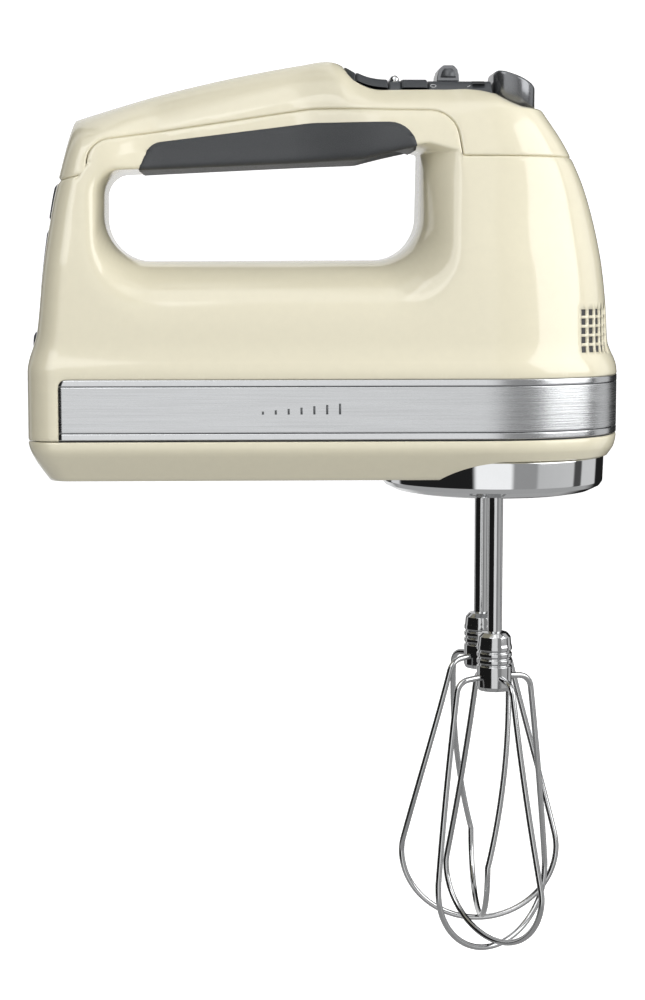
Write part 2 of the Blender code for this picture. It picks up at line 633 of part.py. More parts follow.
def build_motor():
    """The motor, its shaft and the worm; the turning pieces share the motor axis."""
    axis = empty("motor_axis", (0, 0, MOTOR_Z))
    centre = (0, 0, MOTOR_Z)

    def along_shaft(name, outer, inner, start, end, paint, turning, sides=16):
        profile = ((outer, end), (outer, start), (inner, start), (inner, end))
        turns_on = axis if turning else None
        return turned(name, profile, centre, paint, axis=turns_on, direction="X", sides=sides)

    stack = box_mesh("motor_stator", (62, -26, MOTOR_Z - 22.5), (94, 26, MOTOR_Z + 22.5))
    stator = put("motor_stator", stack, IRON)
    cut(stator, rod_cutter("stator_bore", 17.3, (60, 0, MOTOR_Z), 36, "X", sides=32))
    along_shaft("field_coils", 23.5, 18.2, 94.5, 101, COPPER, False)
    along_shaft("rear_field_coils", 23.5, 18.2, 55, 61.5, COPPER, False)
    shaft = put("motor_shaft", rod_mesh("motor_shaft", SHAFT_R, (26, 0, MOTOR_Z), 160, "X"), STEEL, axis=axis)
    core = along_shaft("armature_core", 16.6, SHAFT_R + GAP, 62, 94, IRON, True, sides=24)
    for i in range(6):
        angle = math.radians(60 * i)
        place = (60, 16.6 * math.cos(angle), MOTOR_Z + 16.6 * math.sin(angle))
        cut(core, rod_cutter(f"armature_slot_{i}", 1.6, place, 36, "X", sides=8))
    along_shaft("armature_windings", 14.5, SHAFT_R + GAP, 94.4, 101.5, COPPER, True)
    along_shaft("rear_armature_windings", 14.5, SHAFT_R + GAP, 54.5, 61.6, COPPER, True)
    along_shaft("commutator", 9, SHAFT_R + GAP, 40, 51, COPPER, True)
    for side, name in ((-1, "right_brush"), (1, "left_brush")):
        low, high = sorted((side * 9.4, side * 18))
        put(name, box_mesh(name, (42.5, low, MOTOR_Z - 3), (48.5, high, MOTOR_Z + 3)), IRON)
        low, high = sorted((side * 11, side * 24))
        holder = f"{name}_holder"
        sleeve = box_mesh(holder, (40.8, low, MOTOR_Z - 4.7), (50.2, high, MOTOR_Z + 4.7))
        piece = put(holder, sleeve, BRASS)
        cut(piece, box_cutter(f"{holder}_hole", (42.2, -20, MOTOR_Z - 3.3), (48.8, 20, MOTOR_Z + 3.3)))
    fan = along_shaft("cooling_fan", 8, SHAFT_R + GAP, 104, 112, DARK, True)
    blades = 8
    for i in range(blades):
        blade = box_mesh(f"fan_blade_{i}", (105, -0.9, 7), (111.5, 0.9, 23))
        turn = Matrix.Rotation(2 * math.pi * i / blades, 4, "X") @ Matrix.Rotation(0.5, 4, "Z")
        pivot = Matrix.Translation((108 * MM, 0, 0))
        blade.transform(Matrix.Translation((0, 0, MOTOR_Z * MM)) @ pivot @ turn @ pivot.inverted())
        join(fan, blade)
    along_shaft("rear_bearing", 8, SHAFT_R + GAP, 28, 33, BRASS, False)
    along_shaft("front_bearing", 8, SHAFT_R + GAP, 128.3, 132.7, BRASS, False)
    along_shaft("nose_bearing", 8, SHAFT_R + GAP, 180.3, 184.7, BRASS, False)

    join(shaft, rod_mesh("worm_core", 4.0, (145, 0, MOTOR_Z), 25, "X"))
    turns = 4
    steps = 10
    radius = 4.55
    thread = []
    for i in range(-turns * steps // 2, turns * steps // 2 + 1):
        angle = 2 * math.pi * i / steps
        # the crest faces +Y where the turn count is whole, so the left gear has a gap there
        thread.append((AXIS_X + WORM_PITCH * i / steps, radius * math.cos(angle),
                       MOTOR_Z + radius * math.sin(angle)))
    shape_with(shaft, wire("worm_thread", thread, 0.8, axis=axis, cutter=True, fineness=1), "UNION")

    plate = box_mesh("rear_bracket", (27.7, -16, -18.5), (33.3, 16, MOTOR_Z + 13))
    bracket = put("rear_bracket", plate, DARK)
    cut(bracket, rod_cutter("rear_bearing_seat", 8.3, (20, 0, MOTOR_Z), 20, "X"))


def build_gears():
    """Worm wheels on hollow spindles, in a frame with bushes."""
    frame = put("gear_frame", box_mesh("gear_frame", (126, -33, -10), (172, 33, -5)), ALLOY)
    join(frame, box_mesh("frame_tongue", (165, -13, -9.5), (187, 13, -5.5)))
    for x, name in ((128, "rear_wall"), (180, "front_wall")):
        join(frame, box_mesh(name, (x, -13, -8), (x + 5, 13, 26)))
    cut(frame, rod_cutter("bearing_seats", 8.3, (120, 0, MOTOR_Z), 80, "X"))
    cover = put("gear_cover", box_mesh("gear_cover", (127, -31.5, 26.3), (171, 31.5, 28.8)), ALLOY)
    join(cover, box_mesh("cover_tongue", (165, -13, 26.5), (186, 13, 28.6)))
    screws = ((130.5, -10.3), (182.5, 10.3))
    for i, (x, y) in enumerate(screws):
        hole = rod_cutter(f"cover_screw_hole_{i}", 1.5, (x, y, 14), 25, sides=10)
        cut(frame, hole)
        cut(cover, hole)
        screw(f"gear_case_screw_{i + 1}", (x, y), ((2.8, 30.4), (2.8, 29.1), (1.2, 29.1), (1.2, 16)))

    for side, hand in ((1, "left"), (-1, "right")):
        y = side * SPACING / 2
        axis = empty(f"{hand}_spindle_axis", (AXIS_X, y, MOTOR_Z))
        spindle = ring(f"{hand}_spindle", SPINDLE_R, SPINDLE_BORE_R, SPINDLE_LOW, SPINDLE_TOP,
                       (AXIS_X, y, 0), STEEL, axis=axis, sides=16)
        cut(spindle, box_cutter(f"{hand}_drive_slot", (AXIS_X - 1.1, y - 9, SPINDLE_LOW - 2),
                                (AXIS_X + 1.1, y + 9, -20)))
        phase = 0.5 if side > 0 else 0.0
        name = f"{hand}_worm_wheel"
        gear = put(name, gear_mesh(name, (AXIS_X, y), phase), NYLON, axis=axis)
        cut(gear, rod_cutter(f"{hand}_wheel_bore", SPINDLE_R + GAP, (AXIS_X, y, 0), 30, sides=24))
        bush_seat = rod_cutter(f"{hand}_bush_seat", 9.1, (AXIS_X, y, -20), 60, sides=16)
        cut(frame, bush_seat)
        cut(cover, bush_seat)
        ring(f"{hand}_lower_bush", 8.7, SPINDLE_R + GAP, -10, -5, (AXIS_X, y, 0), BRASS, sides=16)
        ring(f"{hand}_upper_bush", 8.7, SPINDLE_R + GAP, 26.3, 28.8, (AXIS_X, y, 0), BRASS, sides=16)


def gear_mesh(name, centre, phase):
    """A worm wheel whose teeth lean with the worm's thread; phase is in teeth."""
    shape = bmesh.new()
    rings = []
    for z, lean in ((MOTOR_Z - GEAR_WIDTH / 2, -GEAR_TWIST / 2), (MOTOR_Z + GEAR_WIDTH / 2, GEAR_TWIST / 2)):
        points = []
        for tooth in range(GEAR_TEETH):
            for share, radius in GEAR_TOOTH:
                angle = 2 * math.pi * (tooth + phase + share) / GEAR_TEETH + lean
                across = radius * math.sin(angle)
                point = Vector((centre[0] + radius * math.cos(angle), centre[1] + across, z))
                points.append(shape.verts.new(point * MM))
        rings.append(points)
    count = len(rings[0])
    for i in range(count):
        after = (i + 1) % count
        shape.faces.new((rings[0][i], rings[0][after], rings[1][after], rings[1][i]))
    for points in rings:
        shape.faces.new(points)
    bmesh.ops.triangulate(shape, faces=shape.faces)
    return mesh_of(name, shape)


def build_chassis():
    """The cradle under the motor and the speed control board under the panel."""
    chassis = put("motor_cradle", box_mesh("motor_cradle", (12, -29, -21.0), (118, 29, -18.8)), DARK)
    for x in (64, 88):
        join(chassis, box_mesh(f"cradle_rib_{x}", (x, -24, -19.5), (x + 4, 24, MOTOR_Z - 22.8)))
    for i, (x, y) in enumerate(SCREWS):
        cut(chassis, rod_cutter(f"cradle_hole_{i}", SCREW_HOLE_R, (x, y, -30), 30, sides=12))
    board = put("speed_board", box_mesh("speed_board", (108, -10, 97.7), (152, 10, 98.9)), BOARD)
    for label, low, high in (("down_switch", (113, -3, 98), (118, 3, 102.2)),
                             ("up_switch", (127, -3, 98), (132, 3, 102.2)),
                             ("main_switch", (135, 4, 98), (148, 9, 101)),
                             ("triac", (137, -9, 98), (147, -5, 101))):
        join(board, box_mesh(label, low, high))


def loop_points(centre, exit_angle, widest_angle, half_width, tip_z):
    """One wire loop: out of the ferrule, down, round the tip and back up on the other side."""
    arc = []
    for degrees in LOOP_ARC:
        angle = math.radians(degrees)
        height = LOOP_CENTRE_Z + (LOOP_CENTRE_Z - tip_z) * math.sin(angle)
        arc.append(Vector((half_width * math.cos(angle), height)))
    side = rounded(((FERRULE_R + GAP, WIRE_EXIT_Z, 0), LOOP_SHOULDER, (*arc[0], 0)), 4, closed=False)
    half = [side[0]]
    for a, b in zip(side, side[1:]):
        runs = max(1, int((b - a).length / 12))
        half += [a + (b - a) * (i + 1) / runs for i in range(runs)]
    half += arc[1:]
    places = []
    for part, flip in ((half, 0), (half[::-1], math.pi)):
        for r, z in part:
            share = min(max((WIRE_EXIT_Z - z) / (WIRE_EXIT_Z - LOOP_CENTRE_Z), 0), 1)
            angle = math.radians(exit_angle + (widest_angle - exit_angle) * share) + flip
            places.append((centre[0] + r * math.sin(angle), centre[1] - r * math.cos(angle), z))
    places.insert(len(half), (*centre, tip_z))
    return places


def build_beaters():
    """Two beaters: drive shaft with wings, crimped ferrule and two crossing loops of wire each."""
    for side, hand in ((-1, "right"), (1, "left")):
        y = side * SPACING / 2
        axis = empty(f"{hand}_beater_axis", (AXIS_X, y, BEATER_TOP))
        shaft_low = FERRULE_LOW + 8
        name = f"{hand}_beater_shaft"
        rod = rod_mesh(name, BEATER_SHAFT_R, (AXIS_X, y, shaft_low), BEATER_TOP - shaft_low, sides=16)
        shaft = put(name, rod, POLISHED)
        wings = box_mesh(f"{hand}_drive_wings", (AXIS_X - 0.75, y - 5.6, -27), (AXIS_X + 0.75, y + 5.6, -22))
        join(shaft, wings)
        move_origin(shaft, axis)
        bore = BEATER_SHAFT_R + GAP
        top = FERRULE_TOP
        turned(f"{hand}_beater_ferrule", (
            (bore, top), (4.2, top - 0.3), (5.4, top - 1.4), (FERRULE_R, top - 3.2),
            (FERRULE_R, FERRULE_LOW + 0.6), (FERRULE_R - 0.6, FERRULE_LOW), (0, FERRULE_LOW),
            (0, shaft_low - GAP), (bore, shaft_low - GAP)), (AXIS_X, y, 0), POLISHED, axis=axis, sides=16)
        for label, shape in LOOPS[hand].items():
            points = loop_points((AXIS_X, y), *shape)
            wire(f"{hand}_{label}_loop", points, WIRE_R, POLISHED, axis=axis, fineness=1)


# ================================================================ build
for thing in list(bpy.data.objects):
    bpy.data.objects.remove(thing)
PARTS = collection("hand_mixer")
CUTTERS = collection("cutters")

CREAM = material("cream_plastic", (0.82, 0.78, 0.62), 0.2)
SOFT = material("soft_grip_rubber", (0.06, 0.065, 0.07), 0.6)
DARK = material("dark_plastic", (0.06, 0.062, 0.068), 0.4)
GUNMETAL = material("metallic_plastic", (0.14, 0.145, 0.155), 0.3, 0.6)
STEEL = material("brushed_steel", (0.6, 0.6, 0.61), 0.35, 1.0)
CHROME = material("chrome", (0.75, 0.75, 0.76), 0.06, 1.0)
POLISHED = material("polished_steel", (0.68, 0.68, 0.68), 0.12, 1.0)
ALLOY = material("die_cast_alloy", (0.5, 0.5, 0.51), 0.5, 1.0)
IRON = material("lamination_iron", (0.15, 0.15, 0.16), 0.6, 0.6)
COPPER = material("copper_wire", (0.55, 0.25, 0.12), 0.35, 1.0)
BRASS = material("sintered_bronze", (0.6, 0.42, 0.2), 0.4, 1.0)
NYLON = material("gear_nylon", (0.75, 0.72, 0.6), 0.5)
BOARD = material("circuit_board", (0.05, 0.2, 0.08), 0.5)

build_housings()
build_fixed_trim()
build_controls()
build_motor()
build_gears()
build_chassis()
build_beaters()
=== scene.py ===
"""Looks of the corded hand mixer: glossy cream shells, brushed band, soft grip, chrome and wire beaters.

Sizes are in millimetres in the shared frame (+X nose, -Y the side towards the camera, +Z up).
The outer shell is one unrolled sheet: u runs from the middle of the rear face round to the nose,
v from the bottom edge up to the crown. Seams, slots and edges are drawn on it and cut out of it.
"""

import math

import bmesh
import bpy
import numpy as np
from mathutils import Matrix, Vector
from mathutils.geometry import delaunay_2d_cdt
from mathutils.kdtree import KDTree


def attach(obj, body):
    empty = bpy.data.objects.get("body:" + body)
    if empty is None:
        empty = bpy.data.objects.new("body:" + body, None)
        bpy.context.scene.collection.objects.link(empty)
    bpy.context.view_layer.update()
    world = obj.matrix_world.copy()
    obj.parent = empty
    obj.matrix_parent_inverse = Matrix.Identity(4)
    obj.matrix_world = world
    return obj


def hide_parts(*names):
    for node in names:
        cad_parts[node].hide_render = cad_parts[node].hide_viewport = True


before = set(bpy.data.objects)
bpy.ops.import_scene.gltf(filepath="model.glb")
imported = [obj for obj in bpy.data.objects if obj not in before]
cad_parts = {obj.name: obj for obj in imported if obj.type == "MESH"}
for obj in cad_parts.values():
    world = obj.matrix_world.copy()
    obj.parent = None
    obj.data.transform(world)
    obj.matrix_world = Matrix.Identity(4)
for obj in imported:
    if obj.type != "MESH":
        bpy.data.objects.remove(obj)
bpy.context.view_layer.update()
MM = 0.001
HANDS = ((-1, "right"), (1, "left"))

# ---- body shape
TOP_LINE = ((14, 94.0), (17.5, 95.3), (24, 97.4), (45, 103.7), (71, 109.8), (92, 113.7), (101, 115.0),
            (104.5, 114.3), (110, 110.8), (119, 108.4), (135, 108.6), (145, 108.4), (150, 107.5),
            (156, 105.3), (160, 102.9), (163.7, 100.9), (166.2, 99.9), (171, 99.2), (173.5, 98.9))
NOSE_LINE = ((-18.5, 198.2), (-15, 200.3), (-11, 201), (10, 201), (13.5, 200.4), (17, 198.8), (20.5, 197.6),
             (31, 197), (45, 195.5), (58, 193), (72, 188.9), (85.5, 182.5), (99, 173.5))
REAR_LINE = ((-24.9, 7.2), (-18, 3.4), (-13, 1.5), (-11.5, 1.2), (12, 1.2), (15.5, 1.7), (20, 3.1), (24, 4.2),
             (44, 6.2), (67, 9.6), (82, 13.0), (96, 16.3))
HALF_WIDTH = ((-24.9, 32), (-15.2, 42.1), (-14.4, 42.75), (-13.8, 43), (-11, 43), (12, 43), (16, 41.4),
              (20, 40.4), (26, 39.9), (45, 37.5), (60, 34), (75, 30.5), (90, 26.5), (100, 23), (115, 17))
FLOOR_REAR = -24.9
FLOOR_FRONT = -18.5
FLOOR_STEP = (138, 158)
REAR_BLEND = 40.0
REAR_RADIUS = 9.0
NOSE_START = 150.0
NOSE_POWERS = (2.2, 2.7)  # low down and at the top
CROWN_DEPTHS = (16.0, 1.5)  # over the handle and at the nose
CROWN_POWER = 2.4
HANDLE_DIP = 7.0

# the unrolled sheet's coordinates
FACE_RUN = 34.0
CORNER_RUN = REAR_RADIUS * math.pi / 2
NOSE_U = CORNER_RUN + NOSE_START - REAR_RADIUS
END_U = NOSE_U + 76.0
LOW_V = 10.0  # here z is LOW_Z
LOW_Z = -15.0
MID_V = 55.0  # and here MID_Z
MID_Z = 30.0
CROWN_V = 115.0
TOP_V = 147.0
STEP = 1.6

# outlines in the side view: (x, z, corner radius)
THROAT = ((25.7, 47.6, 15), (131.6, 48, 15), (132.2, 84, 1), (124.5, 86.4, 4), (112, 81.4, 14),
          (25.9, 77.2, 8))
MOUTH = ((22.6, 30, 24), (143.4, 30, 22), (143.8, 84, 1), (135, 86.4, 4), (112, 81.4, 14), (22.8, 77.2, 8))
THROAT_HALF = 10.0
PARTING = ((12, 74.2, 0), (20.5, 76.2, 1.2), (21.6, 87, 8), (95, 98.2, 40), (142.6, 97.6, 10),
           (144.9, 82.5, 0.8), (200, 82.5, 0))
GRIP = ((131.2, 70, 0), (130.6, 84, 1), (127, 93.6, 9), (95, 93.4, 40), (41.5, 86.6, 6), (38.2, 79, 1),
        (37.6, 70, 0))
# planes across the underside that end the grip, as (place, direction)
GRIP_ENDS = (((38.3, 0, 79.2), (-4.3, 0, 1.9)), ((130.5, 0, 84.2), (3.6, 0, 1.35)))
VENT_BOX = (183.0, 16.0, 34.0)  # rear end, lower and upper limits of the slotted area
VENT_WALL = 0.8
VENT_LOW = 17.4
VENT_PITCH = 3.05
VENT_HEIGHT = 2.1
VENT_COLUMNS = ((184.9, 187.0), (187.9, 190.0), (190.7, 192.4), (193.0, 194.2), (194.6, 195.5))
SEAM_GAP = 0.42
LIP = 0.5
BAND_LOW = -10.5
BAND_HIGH = 9.2
BAND_REAR = 11.9
BAND_BEND = 2.4
BAND_BORDER = 2.3
BAND_GROOVE = 0.16
BAND_SIDE = 43.0
SEAM = -10.7
PANEL_HALF = 15.0
PANEL_REAR = 106.8
PANEL_FRONT = 155.4
BUTTON_HALF = 12.5
BUTTON_FRONT = 171.6
PANEL_TOP_LINE = ((106.8, 113.0), (109.2, 111.3), (111.5, 109.8), (114.5, 108.6), (117.5, 108.0),
                  (120, 107.8), (156, 107.8))
# the panel's cross section: (share of the half width, height against the top line)
PANEL_SECTION = ((1.0, -3.4), (0.975, -2.7), (0.86, -0.7), (0.82, -0.25), (0.76, -0.03), (0.6, 0.1),
                 (0.3, 0.2))
KEYS = {"down_key": (110.4, 121.0), "up_key": (125.4, 134.3)}
KEY_ROOM = 2.0
KNOB_OUTLINE = ((137.9, 108.15, 0.3), (145.5, 108.15, 0.3), (145.4, 110.2, 0.3), (144.9, 112.1, 1.4),
                (143.6, 113.5, 1.4), (140.0, 113.5, 1.4), (138.7, 112.1, 1.4), (138.1, 110.2, 0.3))
MARK_Z = 106.05
CORD_Z = 18.9

BEATER_X = 157.5
BEATER_Y = 21.0
COLLAR_X = 158.5
WIRE_RADIUS = 1.02
WIRE_EXIT_Z = -93.6
LOOP_SHOULDER = (14.0, -94.4, 5.0)
LOOP_CENTRE_Z = -165.0
# each loop's direction where it leaves the ferrule and where it is widest, in degrees, its half width and tip
LOOPS = {"right": {"inner": (18, 30, 27.6, -186.2), "outer": (113, 125, 24.5, -188.6)},
         "left": {"inner": (38, 0, 27.6, -188.8), "outer": (128, 92, 28.4, -191.2)}}

FLOOR_Z = -215
CAMERA_PLACE = (69, -760, 49)
CAMERA_DOWN = 6.3
CAMERA_TURN = -2.3
CAMERA_LENS = 79.2
# brightness of the room by direction, in degrees from the front (-Y) round towards the nose (+X)
STUDIO_SHADES = ((-89, 0.02), (-26, 0.02), (-22, 1.35), (13, 1.35), (17, 0.42), (40, 0.42), (43, 0.72),
                 (86, 0.8), (88, 0.1), (98, 0.1), (100, 0.85), (126, 0.85), (129, 0.02), (172, 0.02),
                 (176, 1.0), (206, 1.0), (210, 0.05), (222, 0.05), (226, 0.9), (240, 0.9), (244, 0.02))


# ---- curves and outlines
def spline(table, value):
    """A smooth curve through rows of (place, height) that never overshoots them."""
    place = np.array([row[0] for row in table], float)
    height = np.array([row[1] for row in table], float)
    run = np.diff(place)
    rise = np.diff(height) / run
    slope = np.zeros(len(place))
    both = rise[:-1] * rise[1:]
    total = np.where(rise[:-1] + rise[1:] == 0, 1, rise[:-1] + rise[1:])
    slope[1:-1] = np.where(both > 0, 2 * both / total, 0)
    slope[0] = rise[0]
    slope[-1] = rise[-1]
    at = np.clip(np.searchsorted(place, value) - 1, 0, len(run) - 1)
    t = np.clip((value - place[at]) / run[at], 0, 1)
    first = height[at] * (1 + 2 * t) * (1 - t) ** 2 + slope[at] * run[at] * t * (1 - t) ** 2
    second = height[at + 1] * t * t * (3 - 2 * t) - slope[at + 1] * run[at] * t * t * (1 - t)
    return first + second


def smooth_step(value, low, high):
    """0 below the low value, 1 above the high one and an even rise between."""
    share = np.clip((value - low) / (high - low), 0, 1)
    return share * share * (3 - 2 * share)


def grown(corners, distance, closed=True):
    """Outline corners moved to the right of their direction of travel (outwards if anticlockwise)."""
    moved = []
    last = len(corners) - 1
    for i, (x, z, radius) in enumerate(corners):
        here = Vector((x, z))
        before = Vector(corners[i - 1][:2])
        after = Vector(corners[(i + 1) % len(corners)][:2])
        if not closed and i == 0:
            before = here * 2 - after
        if not closed and i == last:
            after = here * 2 - before
        first = (here - before).normalized()
        second = (after - here).normalized()
        side = Vector((first.y + second.y, -first.x - second.x)).normalized()
        shift = distance / max(side.dot(Vector((first.y, -first.x))), 0.4)
        turn = first.x * second.y - first.y * second.x
        bent = radius + distance if turn > 0 else radius - distance
        moved.append((x + side.x * shift, z + side.y * shift, max(bent, 0.05) if radius else 0))
    return moved


def rounded(corners, steps, closed=True):
    """Points along straight runs joined by arcs of each corner's radius."""
    points = []
    last = len(corners) - 1
    for i, (x, z, radius) in enumerate(corners):
        here = Vector((x, z))
        if radius == 0 or (not closed and i in (0, last)):
            points.append(here)
            continue
        back = (Vector(corners[i - 1][:2]) - here).normalized()
        ahead = (Vector(corners[(i + 1) % len(corners)][:2]) - here).normalized()
        half = back.angle(ahead) / 2
        centre = here + (back + ahead).normalized() * (radius / math.sin(half))
        start = here + back * (radius / math.tan(half)) - centre
        finish = here + ahead * (radius / math.tan(half)) - centre
        swing = start.angle_signed(finish)
        for step in range(steps + 1):
            turn = Matrix.Rotation(-swing * step / steps, 2)
            points.append(centre + turn @ start)
    return points


def filled(points, spacing, closed=True):
    """The same line with points no further apart than the spacing."""
    made = []
    ahead = points[1:] + points[:1] if closed else points[1:]
    for a, b in zip(points, ahead):
        parts = max(1, math.ceil((b - a).length / spacing))
        made += [a.lerp(b, i / parts) for i in range(parts)]
    if not closed:
        made.append(points[-1])
    return made


def drawn(corners, more=0.0, closed=True):
    """An outline grown by a distance, with its corners rounded, as closely spaced points."""
    return filled(rounded(grown(corners, more, closed=closed), 6, closed=closed), 1.2, closed=closed)


def inside(polygon, places):
    """Which of the places (n x 2) lie inside a closed polygon."""
    corners = np.array([tuple(p) for p in polygon], float)
    after = np.roll(corners, -1, axis=0)
    hit = np.zeros(len(places), bool)
    for (ax, ay), (bx, by) in zip(corners, after):
        if ay == by:
            continue
        crosses = (ay > places[:, 1]) != (by > places[:, 1])
        at = ax + (places[:, 1] - ay) * (bx - ax) / (by - ay)
        hit ^= crosses & (places[:, 0] < at)
    return hit


# ---- body surface
def side_half(x, z):
    """Half the body's width at the side, before the crown and nose are rounded off."""
    dip = HANDLE_DIP * (smooth_step(x, 22, 45) - smooth_step(x, 88, 120)) * smooth_step(z, 66, 84)
    return spline(HALF_WIDTH, z) - dip


def nose_power(z):
    """The exponent of the nose's rounding in plan."""
    return NOSE_POWERS[0] + (NOSE_POWERS[1] - NOSE_POWERS[0]) * smooth_step(z, 60, 95)


def crown_depth(x):
    """How far below the top line the sides start to round over."""
    return CROWN_DEPTHS[0] + (CROWN_DEPTHS[1] - CROWN_DEPTHS[0]) * smooth_step(x, 138, 170)


def floor_at(x):
    """Height of the bottom edge, which steps up over the collar."""
    return FLOOR_REAR + (FLOOR_FRONT - FLOOR_REAR) * smooth_step(x, *FLOOR_STEP)


def station_at(u):
    """(distance from the rear, share of the nose rounding, share of the rear face, corner inset)."""
    bend = np.clip(u / CORNER_RUN, 0, 1) * math.pi / 2
    station = REAR_RADIUS * (1 - np.cos(bend)) + np.clip(u - CORNER_RUN, 0, NOSE_U - CORNER_RUN)
    inset = REAR_RADIUS * (1 - np.sin(bend))
    nose = np.clip((u - NOSE_U) / (END_U - NOSE_U), 0, 1) * math.pi / 2
    face = np.clip(1 + u / FACE_RUN, 0, 1)
    return station, nose, face, inset


def along_x(station, nose, z):
    """X of a station at a height: near the rear it follows the rear line, in the nose the nose line."""
    lean = np.clip(1 - station / REAR_BLEND, 0, 1)
    rear = station + spline(REAR_LINE, z) * lean
    ahead = NOSE_START + (spline(NOSE_LINE, z) - NOSE_START) * np.sin(nose) ** (2 / nose_power(z))
    return np.where(nose > 0, ahead, rear)


def heights_at(u):
    """(start of the crown, its depth, bottom edge) for sheet coordinates along the body."""
    station, nose, _, _ = station_at(u)
    top_x = along_x(station, nose, 99.0)
    depth = crown_depth(top_x)
    return spline(TOP_LINE, top_x) - depth, depth, floor_at(along_x(station, nose, -15.0))


def body_points(u, v):
    """Places on the -Y side of the body for sheet coordinates."""
    u = np.asarray(u, float)
    v = np.asarray(v, float)
    station, nose, face, inset = station_at(u)
    crown_start, depth, floor = heights_at(u)
    crown = np.clip((v - CROWN_V) / (TOP_V - CROWN_V), 0, 1) * math.pi / 2
    z = np.where(v < LOW_V, floor + (LOW_Z - floor) * v / LOW_V, v - LOW_V + LOW_Z)
    z = np.where(v > MID_V, MID_Z + (crown_start - MID_Z) * (v - MID_V) / (CROWN_V - MID_V), z)
    z = np.where(v > CROWN_V, crown_start + depth * np.sin(crown) ** (2 / CROWN_POWER), z)
    x = along_x(station, nose, z)
    half = side_half(x, z) - inset
    half = half * np.clip(np.cos(crown), 0, 1) ** (2 / CROWN_POWER)
    half = half * np.clip(np.cos(nose), 0, 1) ** (2 / nose_power(z)) * face
    return np.stack([x, -half, z], axis=-1)


def sheet_place(x, z):
    """Sheet coordinates of side-view places."""
    x = np.asarray(x, float)
    z = np.asarray(z, float)
    rear = spline(REAR_LINE, z)
    station = np.where(x < REAR_BLEND, (x - rear) / (1 - rear / REAR_BLEND), x)
    station = np.clip(station, 0, NOSE_START)
    corner = np.arccos(np.clip(1 - station / REAR_RADIUS, -1, 1)) / (math.pi / 2) * CORNER_RUN
    u = np.where(station < REAR_RADIUS, corner, station - REAR_RADIUS + CORNER_RUN)
    share = np.clip((x - NOSE_START) / (spline(NOSE_LINE, z) - NOSE_START), 0, 1)
    nose_u = NOSE_U + np.arcsin(share ** (nose_power(z) / 2)) / (math.pi / 2) * (END_U - NOSE_U)
    u = np.where(x > NOSE_START, nose_u, u)
    crown_start, depth, floor = heights_at(u)
    v = np.where(z < LOW_Z, LOW_V * (z - floor) / (LOW_Z - floor), z - LOW_Z + LOW_V)
    v = np.where(z > MID_Z, MID_V + (CROWN_V - MID_V) * (z - MID_Z) / (crown_start - MID_Z), v)
    above = np.clip((z - crown_start) / depth, 0, 1)
    crown_v = CROWN_V + np.arcsin(above ** (CROWN_POWER / 2)) / (math.pi / 2) * (TOP_V - CROWN_V)
    v = np.where(z > crown_start, crown_v, v)
    return u, v


def on_sheet(points):
    """Side-view points as points on the sheet."""
    u, v = sheet_place([p[0] for p in points], [p[1] for p in points])
    return [Vector(pair) for pair in zip(u, v)]


def crown_place(plan):
    """Sheet coordinates of plan-view points on the crown, by halving."""
    x, y = np.array([tuple(p) for p in plan]).T
    low = np.full(len(x), 60.0)
    high = spline(TOP_LINE, x)
    for _ in range(30):
        middle = (low + high) / 2
        u, v = sheet_place(x, middle)
        wide = -body_points(u, v)[:, 1] > np.abs(y)
        low = np.where(wide, middle, low)
        high = np.where(wide, high, middle)
    return [Vector(pair) for pair in zip(*sheet_place(x, low))]


# ---- tools
def placed(name, data):
    """A new object in the scene."""
    made = bpy.data.objects.new(name, data)
    bpy.context.scene.collection.objects.link(made)
    return made


def link(name, mesh, body, material, nodes=()):
    """Makes a shown piece that rides on a CAD body and may stand for CAD nodes."""
    made = placed(name, mesh)
    mesh.materials.clear()
    mesh.materials.append(material)
    mesh.shade_smooth()
    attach(made, body)
    if nodes:
        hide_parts(*nodes)
    return made


def bevelled(piece, width, segments=3):
    """Rounds a piece's sharp edges."""
    change = piece.modifiers.new("edges", "BEVEL")
    change.width = width * MM
    change.segments = segments
    change.limit_method = "ANGLE"
    change.angle_limit = math.radians(35)
    change.harden_normals = True


def face_outwards(shape, inner):
    """Turns the faces away from a place inside, or only makes them agree if there is none."""
    bmesh.ops.recalc_face_normals(shape, faces=shape.faces)
    if inner is not None:
        middle = Vector(inner) * MM
        if sum((f.calc_center_median() - middle).dot(f.normal) * f.calc_area() for f in shape.faces) < 0:
            bmesh.ops.reverse_faces(shape, faces=shape.faces)


def to_mesh(name, shape):
    """A mesh from a bmesh as it stands."""
    mesh = bpy.data.meshes.new(name)
    shape.to_mesh(mesh)
    shape.free()
    return mesh


def mesh_from(name, shape, facing=None):
    """A mesh from a bmesh; facing is a place inside, which normals point away from."""
    face_outwards(shape, facing)
    return to_mesh(name, shape)


def grid(shape, rows, closed=False, ends=False):
    """Faces between rows of places in millimetres; rows may be closed rings with capped ends."""
    made = [[shape.verts.new(Vector(p) * MM) for p in row] for row in rows]
    count = len(made[0])
    for a, b in zip(made, made[1:]):
        for i in range(count if closed else count - 1):
            j = (i + 1) % count
            shape.faces.new((a[i], a[j], b[j], b[i]))
    if ends:
        shape.faces.new(made[0])
        shape.faces.new(made[-1])


def lathe(name, profile, centre, steps=96, axis="Z"):
    """Turns (radius, height) points about an axis; a radius of 0 closes the shape."""
    shape = bmesh.new()
    rows = []
    for r, h in profile:
        row = []
        for turn in [2 * math.pi * i / steps for i in range(steps)]:
            a, b = r * math.cos(turn), r * math.sin(turn)
            row.append(Vector(centre) + Vector((a, b, h) if axis == "Z" else (h, a, b)))
        rows.append(row)
    grid(shape, rows, closed=True)
    bmesh.ops.remove_doubles(shape, verts=shape.verts, dist=1e-6)
    return mesh_from(name, shape, facing=centre)


